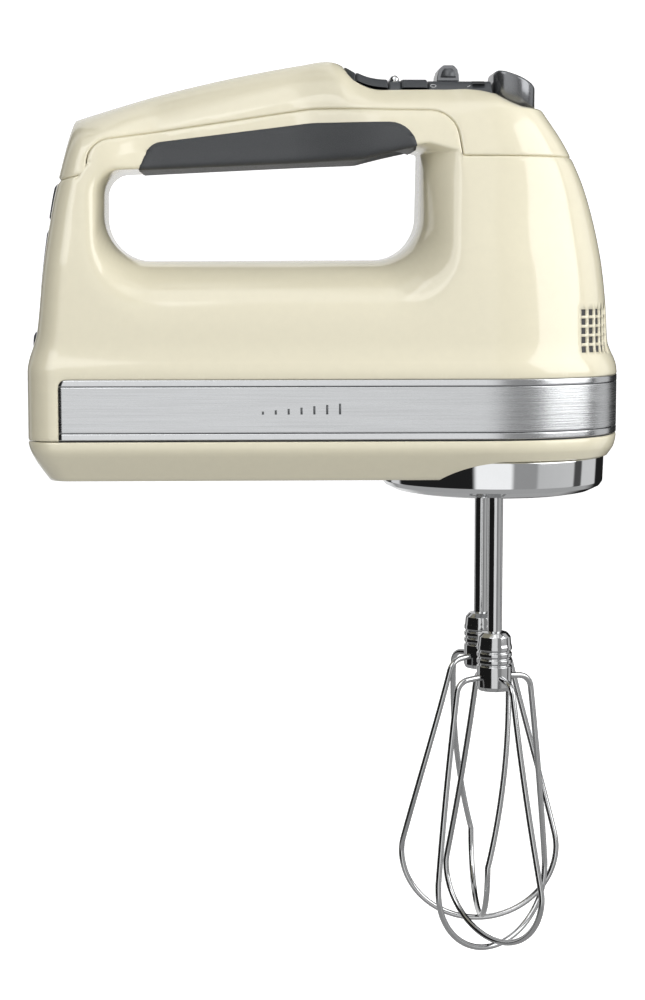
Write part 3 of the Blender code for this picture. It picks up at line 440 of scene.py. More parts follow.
def soften(profile, radius, steps=4):
    """Rounds the corners of a (radius, height) profile."""
    corners = [(*profile[0], 0)]
    for before, here, after in zip(profile, profile[1:], profile[2:]):
        back = Vector(before) - Vector(here)
        ahead = Vector(after) - Vector(here)
        room = min(back.length, ahead.length) / 2.2
        corners.append((*here, min(radius, room * math.tan(back.angle(ahead) / 2))))
    return rounded(corners + [(*profile[-1], 0)], steps, closed=False)


def mirrored(row):
    """A row's places on the other side, in reverse order."""
    return [(x, -y, z) for x, y, z in row[::-1]]


def plate(name, corners, low, high):
    """A side-view outline extruded along Y from low to high."""
    outline = rounded(corners, 6)
    shape = bmesh.new()
    grid(shape, [[(p.x, y, p.y) for p in outline] for y in (low, high)], closed=True, ends=True)
    return mesh_from(name, shape)


def oblong(start, low, end, high):
    """A box's outline in the side view."""
    return ((start, low, 0), (end, low, 0), (end, high, 0), (start, high, 0))


def joined(name, *meshes):
    """Several meshes as one."""
    shape = bmesh.new()
    for mesh in meshes:
        shape.from_mesh(mesh)
        bpy.data.meshes.remove(mesh)
    return to_mesh(name, shape)


def tube(name, points, radius, closed=False, resolution=8):
    """A round wire through places in millimetres."""
    curve = bpy.data.curves.new(name, "CURVE")
    curve.dimensions = "3D"
    curve.bevel_depth = radius * MM
    curve.bevel_resolution = resolution
    curve.use_fill_caps = True
    line = curve.splines.new("POLY")
    line.points.add(len(points) - 1)
    for spot, place in zip(line.points, points):
        spot.co = (*(Vector(place) * MM), 1)
    line.use_cyclic_u = closed
    holder = placed(name, curve)
    bpy.context.view_layer.update()
    mesh = bpy.data.meshes.new_from_object(holder.evaluated_get(bpy.context.evaluated_depsgraph_get()))
    bpy.data.objects.remove(holder)
    mesh.name = name
    return mesh


# ---- materials
def add(tree, kind, **inputs):
    """A shader node with its inputs set."""
    node = tree.nodes.new(kind)
    for key, value in inputs.items():
        node.inputs[key.replace("_", " ")].default_value = value
    return node


def connect(tree, *joints):
    """Joins shader nodes, each joint as (node, its output, node, its input)."""
    for start, output, end, entry in joints:
        tree.links.new(start.outputs[output], end.inputs[entry])


def surface(name, colour, roughness, metallic=0.0, grain=120, stretch=(1, 1, 1), tone=0.04, bump=0.02,
            wear=0.05, coat=0.0):
    """A finish with fine procedural variation of tone, roughness and height.

    grain is the noise's scale over ten, stretch scales it along each axis (small is long streaks)."""
    made = bpy.data.materials.new(name)
    made.use_nodes = True
    tree = made.node_tree
    shader = tree.nodes["Principled BSDF"]
    place = add(tree, "ShaderNodeTexCoord")
    scale = add(tree, "ShaderNodeMapping", Scale=stretch)
    noise = add(tree, "ShaderNodeTexNoise", Scale=grain * 10, Detail=4.0, Roughness=0.6)
    shades = add(tree, "ShaderNodeValToRGB")
    for stop, position, share in zip(shades.color_ramp.elements, (0.3, 0.7), (1 - tone, 1 + tone)):
        stop.position = position
        stop.color = (*[min(c * share, 1) for c in colour], 1)
    spread = add(tree, "ShaderNodeMapRange", To_Min=max(roughness - wear, 0), To_Max=roughness + wear)
    height = add(tree, "ShaderNodeBump", Strength=bump, Distance=0.0005)
    connect(tree, (place, "Object", scale, "Vector"), (scale, "Vector", noise, "Vector"),
            (noise, "Fac", shades, "Fac"), (shades, "Color", shader, "Base Color"),
            (noise, "Fac", spread, "Value"), (spread, "Result", shader, "Roughness"),
            (noise, "Fac", height, "Height"), (height, "Normal", shader, "Normal"))
    shader.inputs["Metallic"].default_value = metallic
    shader.inputs["Coat Weight"].default_value = coat
    shader.inputs["Coat Roughness"].default_value = 0.04
    return made


CREAM = surface("cream_gloss", (0.80, 0.75, 0.575), 0.10, grain=30, tone=0.012, bump=0.003, wear=0.02,
                coat=0.3)
BRUSHED = surface("brushed_steel", (0.58, 0.59, 0.60), 0.26, 1.0, grain=250, stretch=(0.012, 0.012, 1),
                  tone=0.10, bump=0.10, wear=0.08)
BORDER = surface("polished_border", (0.62, 0.63, 0.64), 0.2, 1.0, grain=60, tone=0.02, bump=0.0, wear=0.02)
RUBBER = surface("grip_rubber", (0.042, 0.045, 0.049), 0.46, grain=420, tone=0.18, bump=0.35, wear=0.08)
DARK = surface("control_plastic", (0.055, 0.060, 0.066), 0.34, grain=300, tone=0.10, bump=0.08)
# near-black for dark fittings and inner nodes, and also painted shade on the sheet behind the cooling slots
FITTING_AND_SHADE = surface("dark_fitting_and_painted_shade", (0.035, 0.037, 0.040), 0.5, grain=200, tone=0.1, bump=0.1, wear=0.06)
GUNMETAL = surface("metallic_plastic", (0.21, 0.215, 0.225), 0.24, 0.8, grain=400, bump=0.004, wear=0.03)
KNOB = surface("knob_plastic", (0.10, 0.105, 0.112), 0.35, 0.3, grain=400, tone=0.06, bump=0.01, wear=0.03)
CHROME = surface("chrome", (0.78, 0.79, 0.80), 0.045, 1.0, grain=20, tone=0.01, bump=0.002, wear=0.015)
WIRE = surface("polished_wire", (0.56, 0.565, 0.57), 0.09, 1.0, grain=150, stretch=(1, 1, 0.1), wear=0.04)
MARK = surface("printed_mark", (0.62, 0.63, 0.64), 0.5, grain=300, tone=0.05)
BAND_MARK = surface("band_mark", (0.10, 0.105, 0.11), 0.5, grain=300, tone=0.08)
MACHINED = surface("machined_steel", (0.52, 0.52, 0.53), 0.3, 1.0, grain=200, stretch=(1, 1, 0.1), tone=0.08,
                   bump=0.06)
ALLOY = surface("cast_alloy", (0.48, 0.48, 0.49), 0.5, 1.0, grain=150, tone=0.12, bump=0.25)
IRON = surface("laminated_iron", (0.16, 0.16, 0.17), 0.55, 0.7, grain=200, stretch=(1, 0.05, 0.05), tone=0.3,
               bump=0.3)
COPPER = surface("copper_winding", (0.60, 0.25, 0.11), 0.35, 1.0, grain=160, stretch=(0.15, 1, 1), tone=0.25,
                 bump=0.5)
BRONZE = surface("sintered_bronze", (0.55, 0.37, 0.18), 0.45, 1.0, grain=300, tone=0.15, bump=0.2)
CARBON = surface("brush_carbon", (0.04, 0.04, 0.042), 0.6, grain=300, tone=0.2, bump=0.2)
NYLON = surface("gear_nylon", (0.72, 0.68, 0.57), 0.45, tone=0.05, bump=0.05)
BOARD = surface("circuit_board", (0.04, 0.17, 0.07), 0.45, grain=220, tone=0.25, bump=0.1)


# ---- outer shell
def sheet_lines():
    """Lines to draw on the unrolled sheet, and the regions that they enclose."""
    lines = []
    regions = {}

    def region(name, corners):
        """Records a region and draws its outline."""
        regions[name] = corners
        lines.append((corners, True))

    def across(points):
        """A side-view line carried on round the rear face and to the middle of the nose."""
        line = on_sheet(points)
        return [Vector((-FACE_RUN, line[0].y))] + line + [Vector((END_U, line[-1].y))]

    for name, side in (("cover", -1), ("main", 1)):
        edge = across(drawn(PARTING, side * SEAM_GAP / 2, closed=False))
        lip = across(drawn(PARTING, side * (SEAM_GAP / 2 + LIP), closed=False))
        limit = TOP_V + 5 if name == "cover" else -5
        regions[name] = edge + [Vector((END_U + 5, limit)), Vector((-FACE_RUN - 5, limit))]
        lines += [(edge, False), (lip, False)]
    seam_v = SEAM - LOW_Z + LOW_V
    for v in (seam_v + LIP, seam_v, seam_v - SEAM_GAP, seam_v - SEAM_GAP - LIP):
        lines.append((filled([Vector((-FACE_RUN, v)), Vector((END_U, v))], 1.5, closed=False), False))
    regions["seam"] = seam_v

    gap = 0.12
    band_u = float(sheet_place(BAND_REAR - gap, 0.0)[0])
    band_v = BAND_HIGH + gap - LOW_Z + LOW_V
    for name, more in (("band", 0), ("band_lip", LIP)):
        corners = ((END_U + 3, 0, 0), (END_U + 3, band_v + more, 0),
                   (band_u - more, band_v + more, 2.6 + more), (band_u - more, 0, 0))
        region(name, filled(rounded(corners, 5), 1.5))

    room = 0.3
    panel_side = -PANEL_HALF - room
    button_side = -BUTTON_HALF - room
    hole = [(PANEL_REAR - room, 0, 0), (PANEL_REAR - room, panel_side, 11), (PANEL_FRONT, panel_side, 0),
            (PANEL_FRONT + 1.5, button_side, 0), (BUTTON_FRONT + room, button_side, 2),
            (BUTTON_FRONT + room, 0, 0)]
    for name, more in (("controls", 0.0), ("controls_lip", LIP)):
        edge = crown_place(drawn(hole, more, closed=False))
        rear, front = [Vector((edge[k].x, TOP_V + 3)) for k in (0, -1)]
        region(name, [rear] + edge + [front])

    for row in range(5):
        low = VENT_LOW + VENT_PITCH * row
        for column, (start, end) in enumerate(VENT_COLUMNS):
            slot = filled(rounded(oblong(start, low, end, low + VENT_HEIGHT), 1), 0.8)
            region(f"vent_{row}_{column}", on_sheet(slot))

    region("opening", on_sheet(opening_rings()[2]))
    region("grip", on_sheet(drawn(GRIP)))
    region("grip_lip", on_sheet(drawn(GRIP, -LIP)))
    return lines, regions


def opening_rings():
    """Throat, mouth and outer outlines of the handle opening, point for point."""
    throat = rounded(THROAT, 12)
    mouth = rounded(MOUTH, 12)
    wide = rounded(grown(MOUTH, 6.0), 12)
    rings = [[], [], []]
    for i in range(len(throat)):
        j = (i + 1) % len(throat)
        longest = max((throat[j] - throat[i]).length, (wide[j] - wide[i]).length)
        parts = max(1, math.ceil(longest / 1.6))
        for part in range(parts):
            t = part / parts
            rings[0].append(throat[i].lerp(throat[j], t))
            rings[1].append(mouth[i].lerp(mouth[j], t))
            reach = wide[i].lerp(wide[j], t)
            near_seam = smooth_step(reach.x, 120, 138) * smooth_step(reach.y, 66, 82)
            share = 1 - 0.88 * float(near_seam)
            rings[2].append(rings[1][-1].lerp(reach, share))
    return rings


def opening_wall():
    """Rows of places from the middle of the opening out to the shell, for the -Y side."""
    flare = math.radians(78)
    count = 40
    # how far each place between the two ends is drawn towards its neighbours, less beside the shell
    ease = np.array([0.6] * (count - 4) + [0.3, 0.12])[:, None]
    rows = []
    for a, b, c in zip(*opening_rings()):
        u, v = sheet_place(b.x, b.y)
        reach = -float(body_points(u, v)[1])
        line = [(a.x, 0.0, a.y), (a.x, -THROAT_HALF, a.y)]
        for swing in np.linspace(0, flare, 24)[1:]:
            share = (1 - math.cos(swing)) / (1 - math.cos(flare))
            y = THROAT_HALF + (reach - THROAT_HALF) * math.sin(swing) / math.sin(flare)
            line.append((a.x + (b.x - a.x) * share, -y, a.y + (b.y - a.y) * share))
        for share in (0.15, 0.3, 0.45, 0.6, 0.8, 1.0):
            spot = b.lerp(c, share)
            u, v = sheet_place(spot.x, spot.y)
            line.append(tuple(body_points(u, v)))
        line = np.array(line)
        length = np.concatenate(([0], np.cumsum(np.linalg.norm(np.diff(line, axis=0), axis=1))))
        even = np.linspace(0, length[-1], count)
        row = np.stack([np.interp(even, length, line[:, k]) for k in range(3)], axis=1)
        for _ in range(9):
            row[1:-1] += ((row[:-2] + row[2:]) / 2 - row[1:-1]) * ease
        rows.append(row)
    return rows


def outer_sheet():
    """The drawn sheet as (places, triangles, triangle middles on the sheet, regions)."""
    lines, regions = sheet_lines()
    places = []
    edges = []
    for points, closed in lines:
        first = len(places)
        places += points
        edges += [(first + i, first + i + 1) for i in range(len(points) - 1)]
        if closed:
            edges.append((len(places) - 1, first))
    tree = KDTree(len(places))
    for i, p in enumerate(places):
        tree.insert((p.x, p.y, 0), i)
    tree.balance()
    steps = int((END_U - CORNER_RUN) / STEP)
    across = np.concatenate((np.linspace(-FACE_RUN, 0, 18), np.linspace(0, CORNER_RUN, 11)[1:],
                             np.linspace(CORNER_RUN, END_U, steps)[1:]))
    up = np.concatenate((np.linspace(0, LOW_V, 9), np.linspace(LOW_V, CROWN_V, 68)[1:],
                         np.linspace(CROWN_V, TOP_V, 28)[1:]))
    for u in across:
        for v in up:
            if v in (0, TOP_V) or u in (-FACE_RUN, END_U) or tree.find((u, v, 0))[2] > 0.7:
                places.append(Vector((u, v)))
    found = delaunay_2d_cdt(places, edges, [], 0, 1e-4)
    spots = np.round([(p.x, p.y) for p in found[0]], 4)
    spots[:, 0] = np.clip(spots[:, 0], -FACE_RUN, END_U)
    spots[:, 1] = np.clip(spots[:, 1], 0, TOP_V)
    triangles = np.array(found[2])
    flat = spots[triangles]
    middles = flat.mean(axis=1)
    first = flat[:, 1] - flat[:, 0]
    second = flat[:, 2] - flat[:, 0]
    area = first[:, 0] * second[:, 1] - first[:, 1] * second[:, 0]
    keep = np.abs(area) > 1e-6
    return spots, triangles[keep], middles[keep], regions


SPOTS, TRIANGLES, MIDDLES, REGIONS = outer_sheet()
PLACES = body_points(SPOTS[:, 0], SPOTS[:, 1])


def region_mask(name):
    """Which of the sheet's triangles lie in a region."""
    return inside(REGIONS[name], MIDDLES)


def shell(name, mask, facing=(100, 0, 40), patches=(), cuts=(), raised=0.0, tuck=0.2, depth=2.2):
    """A sheet piece: both sides of the masked triangles and any patches, with rolled edges and short walls.

    cuts are (place, direction) planes, and what lies beyond them is taken off the patches."""
    shape = bmesh.new()
    used = np.unique(TRIANGLES[mask])
    for side in (1, -1):
        verts = {}
        for i in used:
            x, y, z = PLACES[i]
            verts[i] = shape.verts.new(Vector((x, side * y, z)) * MM)
        for a, b, c in TRIANGLES[mask]:
            shape.faces.new((verts[a], verts[b], verts[c]))
    sheet = set(shape.verts) | set(shape.edges) | set(shape.faces)
    for rows in patches:
        grid(shape, rows)
    for place, direction in cuts:
        parts = list(shape.verts) + list(shape.edges) + list(shape.faces)
        patch = [part for part in parts if part not in sheet]
        bmesh.ops.bisect_plane(shape, geom=patch, plane_co=Vector(place) * MM, plane_no=direction,
                               clear_outer=True)
    bmesh.ops.remove_doubles(shape, verts=shape.verts, dist=1e-5)
    bmesh.ops.dissolve_degenerate(shape, edges=shape.edges, dist=1e-6)
    face_outwards(shape, facing)
    shape.normal_update()
    normals = {v: v.normal.copy() for v in shape.verts}
    rim = [e for e in shape.edges if e.is_boundary]
    rim_verts = {v for e in rim for v in e.verts}
    for v in shape.verts:
        v.co += normals[v] * raised * MM
        if v in rim_verts:
            v.co -= normals[v] * tuck * MM
    made = bmesh.ops.extrude_edge_only(shape, edges=rim)["geom"]
    for v in made:
        if isinstance(v, bmesh.types.BMVert):
            source = next(e.other_vert(v) for e in v.link_edges if e.other_vert(v) in rim_verts)
            rear, low, high = [limit * MM for limit in VENT_BOX]
            in_vents = source.co.x > rear and low < source.co.z < high
            v.co -= normals[source] * (VENT_WALL if in_vents else depth) * MM
    return to_mesh(name, shape)


def floor_rows():
    """Rows of places that close the underside from one bottom edge to the other."""
    u = np.unique(SPOTS[(SPOTS[:, 1] < 1e-6) & (SPOTS[:, 0] >= 0)][:, 0])
    edge = body_points(u, np.zeros(len(u)))
    return [[(x, y * share, z) for share in np.linspace(1, -1, 13)] for x, y, z in edge]


def build_shells():
    """The three cream shells and the soft grip, cut from the sheet."""
    vents = np.any([region_mask(name) for name in REGIONS if name.startswith("vent_")], axis=0)
    above_seam = MIDDLES[:, 1] > REGIONS["seam"]
    below_seam = MIDDLES[:, 1] < REGIONS["seam"] - SEAM_GAP
    opening = region_mask("opening")
    ring = [mirrored(row)[:-1] + [tuple(p) for p in row] for row in opening_wall()]
    main_mask = region_mask("main") & above_seam & ~region_mask("band") & ~opening & ~vents
    housing = shell("housing_shell", main_mask, patches=(ring + ring[:1],))
    link("housing_shell", housing, "body", CREAM, ("main_housing",))
    cover_mask = region_mask("cover") & ~region_mask("controls")
    link("cover_shell", shell("cover_shell", cover_mask), "body", CREAM, ("top_cover",))
    lower = shell("lower_shell", below_seam, patches=(floor_rows(),), facing=(100, 0, 10))
    link("lower_shell", lower, "body", CREAM, ("lower_housing",))

    held = [p.y > 75 and 29 < p.x < 131.4 for p in opening_rings()[0]]
    start = next(i for i in range(len(held)) if held[i] and not held[i - 1])
    under = [ring[(start + i) % len(ring)] for i in range(sum(held))]
    skin = shell("grip_skin", region_mask("grip") & ~opening, patches=(under,), cuts=GRIP_ENDS,
                 facing=(85, 0, 100), raised=0.45, tuck=0.5, depth=0.8)
    link("grip_skin", skin, "body", RUBBER, ("soft_grip",))


def on_body(u, z, offset):
    """Places on the -Y side of the body at one height, moved outwards by an offset."""
    u = np.asarray(u, float)
    v = np.full(len(u), z - LOW_Z + LOW_V)
    spot = body_points(u, v)
    along = body_points(np.clip(u + 0.2, 0, END_U), v) - body_points(np.clip(u - 0.2, 0, END_U), v)
    upward = body_points(u, v + 0.2) - body_points(u, v - 0.2)
    normal = np.cross(along, upward)
    normal[-1] = (1, 0, 0) if u[-1] >= END_U - 1e-6 else normal[-1]
    normal /= np.linalg.norm(normal, axis=1)[:, None]
    return spot + normal * offset


def round_the_nose(near):
    """A row of places from the -Y side carried on round the nose to the other side."""
    return [tuple(p) for p in near] + mirrored(near)[1:]


def build_band():
    """The metal band in its seat: polished borders, a fine groove beside each and a brushed middle."""
    start = float(sheet_place(BAND_REAR, 0.0)[0])

    def strip(name, profile, material, nodes=()):
        """One strip of the band from its (z, offset) profile, with round upper rear corners."""
        rows = []
        for z, offset in profile:
            over = max(z - (BAND_HIGH - BAND_BEND), 0)
            first = start + BAND_BEND - math.sqrt(max(BAND_BEND ** 2 - over ** 2, 0))
            u = first + (END_U - first) * np.linspace(0, 1, 170)
            back = on_body(u[:1], z, -1.2)
            rows.append(round_the_nose(np.concatenate((back, on_body(u, z, offset)))))
        shape = bmesh.new()
        grid(shape, rows)
        link(name, mesh_from(name, shape, facing=(100, 0, 0)), "body", material, nodes)

    low = BAND_LOW + BAND_BORDER
    high = BAND_HIGH - BAND_BORDER
    middle = [(low, -0.6), (low + 0.02, -0.15), (low + 0.15, -0.02)]
    middle += [(z, -0.02) for z in np.linspace(low + 0.5, high - 0.5, 9)]
    middle += [(high - 0.15, -0.02), (high - 0.02, -0.15), (high, -0.6)]
    strip("band_middle", middle, BRUSHED, ("trim_band",))
    for name, a, b in (("band_border_low", BAND_LOW, low - BAND_GROOVE),
                       ("band_border_high", high + BAND_GROOVE, BAND_HIGH)):
        profile = [(a, -1.2), (a + 0.02, -0.2), (a + 0.12, -0.04), (a + 0.3, 0.0)]
        profile += [(z, 0.0) for z in np.linspace(a + 0.6, b - 0.6, 4)]
        profile += [(b - 0.3, 0.0), (b - 0.12, -0.04), (b - 0.02, -0.2), (b, -1.2)]
        strip(name, profile, BORDER)
    u = np.linspace(start - 0.3, END_U, 160)
    shape = bmesh.new()
    grid(shape, [round_the_nose(on_body(u, z, -1.0)) for z in (BAND_LOW - 0.6, 0.0, BAND_HIGH + 0.6)])
    link("band_seat", mesh_from("band_seat", shape, facing=(100, 0, 0)), "body", FITTING_AND_SHADE)
    for side, hand in HANDS:
        bars = []
        inner, outer = sorted((side * BAND_SIDE, side * (BAND_SIDE + 0.12)))
        for i in range(7):
            x = 78.0 + i * 4.2
            bars.append(plate("bar", oblong(x, -2.1, x + 0.7, -1.1 + 0.42 * i), inner, outer))
        link(f"speed_bars_{hand}", joined("speed_bars", *bars), "body", BAND_MARK)


def build_vent_back():
    """Painted shade behind the cooling slots: a near-black sheet just inside them stands in for the shadowed
    inside.
    """
    for side, hand in HANDS:
        shape = bmesh.new()
        rows = []
        for z in np.linspace(15.5, 32.5, 8):
            u = sheet_place(np.linspace(182.5, 196.4, 20), np.full(20, z))[0]
            rows.append([(x, side * abs(y), height) for x, y, height in on_body(u, z, -0.75)])
        grid(shape, rows)
        # painted shade: this sheet's dark finish stands in for the shadow inside the slots
        link(f"vent_shade_sheet_{hand}", mesh_from("vent_shade_sheet", shape), "body", FITTING_AND_SHADE)


def build_rear():
    """Ribs, the dark rear panel and the swivel where the cord would enter."""
    half = 20.0
    for name, low, high, nodes in (("rear_panel_low", 36.8, 58.8, ("rear_panel",)),
                                   ("rear_panel_high", 61.0, 73.0, ())):
        rows = []
        for z in np.linspace(low, high, 12):
            x = float(spline(REAR_LINE, z))
            edge = min(z - low, high - z)
            out = 0.95 - 0.6 * max(1 - edge / 1.2, 0) ** 2
            row = [(x + 1.5, -half, z), (x - out + 1.0, -half, z), (x - out + 0.25, -half + 0.25, z),
                   (x - out, -half + 1.0, z)]
            row += [(x - out, y, z) for y in np.linspace(-half + 4, half - 4, 9)]
            rows.append(row + mirrored(row[:4]))
        shape = bmesh.new()
        grid(shape, rows)
        grid(shape, [[(x + 2.0, y, z) for x, y, z in rows[0]], rows[0]])
        link(name, mesh_from(name, shape, facing=(60, 0, 55)), "body", RUBBER, nodes)
    latch = plate("rear_latch", ((7.2, 59.0, 0), (10.0, 59.0, 0), (10.0, 60.8, 0), (7.5, 60.8, 0.4)), -8, 8)
    bevelled(link("rear_latch", latch, "body", CREAM), 0.3)
    ribs = []
    for i in range(5):
        z = 28.6 + 1.8 * i
        x = float(spline(REAR_LINE, z))
        outline = ((x - 0.55, z, 0.3), (x + 1.5, z, 0), (x + 1.5, z + 0.9, 0), (x - 0.55, z + 0.9, 0.3))
        ribs.append(plate("rib", outline, -19, 19))
    link("rear_ribs", joined("rear_ribs", *ribs), "body", CREAM)
    profile = [(2.4, 12), (2.4, 0.9), (3.2, 0.4), (4.4, 1.0), (6.2, 4.6), (6.2, 12)]
    swivel = lathe("cord_swivel", soften(profile, 0.6), (0, 0, CORD_Z), axis="X")
    link("cord_swivel", swivel, "body", RUBBER, ("cord_inlet",))
    hole = lathe("cord_hole", [(0, 4.5), (2.5, 4.5), (2.5, 6.0)], (0, 0, CORD_Z), axis="X")
    link("cord_hole", hole, "body", FITTING_AND_SHADE)


def panel_half(x):
    """Half the panel's width in plan, with a round rear end."""
    bend = 11.0
    over = np.clip(PANEL_REAR + bend - x, 0, bend)
    return PANEL_HALF - bend + np.sqrt(np.maximum(bend ** 2 - over ** 2, 0))


def saddle(name, start, end, rise, grow, depth, ends=0.6, recesses=()):
    """A saddle with the panel's cross section between two places along X, with rounded ends.

    recesses are runs in which it lies lower, inside its own side walls."""
    shape = bmesh.new()
    rows = []
    places = [start, start + ends * 0.3, start + ends] + list(np.linspace(start + ends, end - ends, 40)[1:-1])
    places += [end - ends, end - ends * 0.3, end]
    drops = [ends, ends * 0.3, 0] + [0] * 38 + [0, ends * 0.3, ends]
    for low, high in recesses:
        places += [low, low + 0.01, high - 0.01, high]
        drops += [0] * 4
    section = [(1.0, -depth)] + [(w, h) for w, h in PANEL_SECTION if h > 0.3 - depth]
    ledge = 2 if recesses else 0
    for x, drop in sorted(zip(places, drops)):
        if any(low < x < high for low, high in recesses):
            drop = KEY_ROOM
        half = float(panel_half(x)) + grow
        top = float(spline(PANEL_TOP_LINE, x)) + rise
        near = [(x, -half * w, top + h) for w, h in section[:ledge]]
        lowest = near[-1][2] if near else -math.inf
        half -= drop
        top -= drop
        near += [(x, -half * w, max(top + h, lowest)) for w, h in section[ledge:]]
        rows.append(near + [(x, 0.0, top + 0.22)] + mirrored(near))
    grid(shape, rows, ends=True)
    return mesh_from(name, shape, facing=((start + end) / 2, 0, 104))


def capsule(name, centre, radius, half):
    """A round bar along Y with ball ends, at a place in the side view."""
    shape = bmesh.new()
    rows = []
    for side in (-1, 1):
        turns = np.linspace(0, math.pi / 2, 9)
        for turn in turns[::-1] if side < 0 else turns:
            r = radius * math.cos(turn) + 1e-4
            y = side * (half + radius * math.sin(turn))
            rows.append([(centre[0] + r * math.cos(a), y, centre[1] + r * math.sin(a))
                         for a in np.linspace(0, 2 * math.pi, 32, endpoint=False)])
    grid(shape, rows, closed=True, ends=True)
    return mesh_from(name, shape, facing=(centre[0], 0, centre[1]))


def concentric(name, corners, bottom, top_line, edge):
    """A button from a plan outline: a wall up to a rounded edge and a top that follows a line along X."""
    shape = bmesh.new()
    rows = []
    outline = rounded(corners, 8)
    rows.append([(p.x, p.y, bottom) for p in outline])
    for turn in np.linspace(0, math.pi / 2, 6):
        ring = rounded(grown(corners, -edge * (1 - math.cos(turn))), 8)
        rows.append([(p.x, p.y, float(spline(top_line, p.x)) - edge * (1 - math.sin(turn))) for p in ring])
    centre = sum(outline, Vector((0, 0))) / len(outline)
    last = rows[-1]
    for share in (0.25, 0.5, 0.75, 0.95):
        row = []
        for x, y, _ in last:
            px = x + (centre.x - x) * share
            row.append((px, y * (1 - share), float(spline(top_line, px)) + 0.35 * (1 - (1 - share) ** 2)))
        rows.append(row)
    grid(shape, rows, closed=True, ends=True)
    return mesh_from(name, shape, facing=(centre.x, 0, bottom + 4))


def build_controls():
    """The panel with its keys, dome, slide knob and marks, and the ejector's cap."""
    recesses = [(rear - 0.3, front + 0.3) for rear, front in KEYS.values()]
    panel = saddle("panel_deck", PANEL_REAR, PANEL_FRONT + 0.3, 0.0, 0.0, 7.0, ends=0.4, recesses=recesses)
    link("panel_deck", panel, "body", DARK, ("control_panel",))
    for body, (rear, front) in KEYS.items():
        key = saddle(f"{body}_cap", rear, front, 0.55, 0.0, 2.9, ends=0.7)
        link(f"{body}_cap", key, body, DARK, (f"speed_{body}",))
    link("speed_dome", capsule("speed_dome", (123.2, 108.15), 1.55, 11.2), "body", CHROME,
         ("speed_light",))
    knob = plate("slide_knob", KNOB_OUTLINE, -7.4, 7.4)
    bevelled(link("slide_knob", knob, "power_slide", GUNMETAL, ("power_slide",)), 0.9, 4)
    for side, hand in HANDS:
        face = plate("knob_face", grown(KNOB_OUTLINE, -1.15), *sorted((side * 7.2, side * 7.55)))
        link(f"knob_face_{hand}", face, "power_slide", KNOB)
    slot = saddle("slide_slot", 149.3, 153.5, 0.06, 0.01, 1.2, ends=0.1)
    link("slide_slot", slot, "body", FITTING_AND_SHADE)
    for side, hand in HANDS:
        ring = [(136.1 + 0.95 * math.cos(a), side * (13.9 - 0.43 * math.sin(a)), MARK_Z + 0.5 * math.sin(a))
                for a in np.linspace(0, 2 * math.pi, 24, endpoint=False)]
        off_mark = tube("off_mark", ring, 0.1, closed=True, resolution=2)
        link(f"off_mark_{hand}", off_mark, "body", MARK)
        bar = [(147.6, side * 14.15, 105.75), (148.6, side * 13.75, 106.2)]
        link(f"on_mark_{hand}", tube("on_mark", bar, 0.1, resolution=2), "body", MARK)

    plan = ((156.9, -12.2, 4.5), (171.4, -12.2, 7.0), (171.4, 12.2, 7.0), (156.9, 12.2, 4.5))
    top = ((156.9, 111.0), (158.6, 111.6), (160.6, 111.3), (165, 109.9), (169, 108.0), (171.4, 106.6))
    button = concentric("eject_cap", plan, 96.3, top, 1.1)
    link("eject_cap", button, "ejector", GUNMETAL, ("ejector_button",))


def build_collar():
    """The chrome collar and the two sockets in its floor."""
    profile = [(0, -29.4), (27.6, -29.4), (28.4, -30.8), (30.0, -31.5), (33.8, -30.8), (37.3, -29.1),
               (38.3, -27.6), (38.6, -18.7), (28.2, -18.7)]
    collar = lathe("collar_ring", soften(profile, 0.5, 5), (COLLAR_X, 0, 0), 160)
    link("collar_ring", collar, "body", CHROME, ("beater_collar",))
    for side, hand in HANDS:
        centre = (BEATER_X, side * BEATER_Y, 0)
        profile = [(3.4, -20), (3.4, -29.6), (4.4, -30.0), (6.6, -29.6), (7.2, -28.2)]
        rim = lathe("socket_rim", soften(profile, 0.4), centre, 48)
        link(f"socket_rim_{hand}", rim, "body", DARK)
        hole = lathe("socket_hole", [(0, -24.0), (3.5, -24.0), (3.5, -29.0)], centre, 32)
        link(f"socket_hole_{hand}", hole, "body", FITTING_AND_SHADE)


def loop_places(centre, exit_angle, widest_angle, half_width, tip):
    """One wire loop of a beater: out of the ferrule, round the elliptical tip and back on the other side."""
    arc = []
    for turn in np.radians(np.linspace(10, -90, 41)):
        height = LOOP_CENTRE_Z + (LOOP_CENTRE_Z - tip) * math.sin(turn)
        arc.append(Vector((half_width * math.cos(turn), height)))
    side = ((5.4, WIRE_EXIT_Z, 0), LOOP_SHOULDER, (*arc[0], 0))
    half = filled(rounded(side, 10, closed=False), 1.5, closed=False) + arc[1:]
    places = []
    for part, flip in ((half, 0), (half[::-1][1:], math.pi)):
        for r, z in part:
            share = min(max((WIRE_EXIT_Z - z) / (WIRE_EXIT_Z - LOOP_CENTRE_Z), 0), 1)
            angle = math.radians(exit_angle + (widest_angle - exit_angle) * share) + flip
            places.append((centre[0] + r * math.sin(angle), centre[1] - r * math.cos(angle), z))
    return places


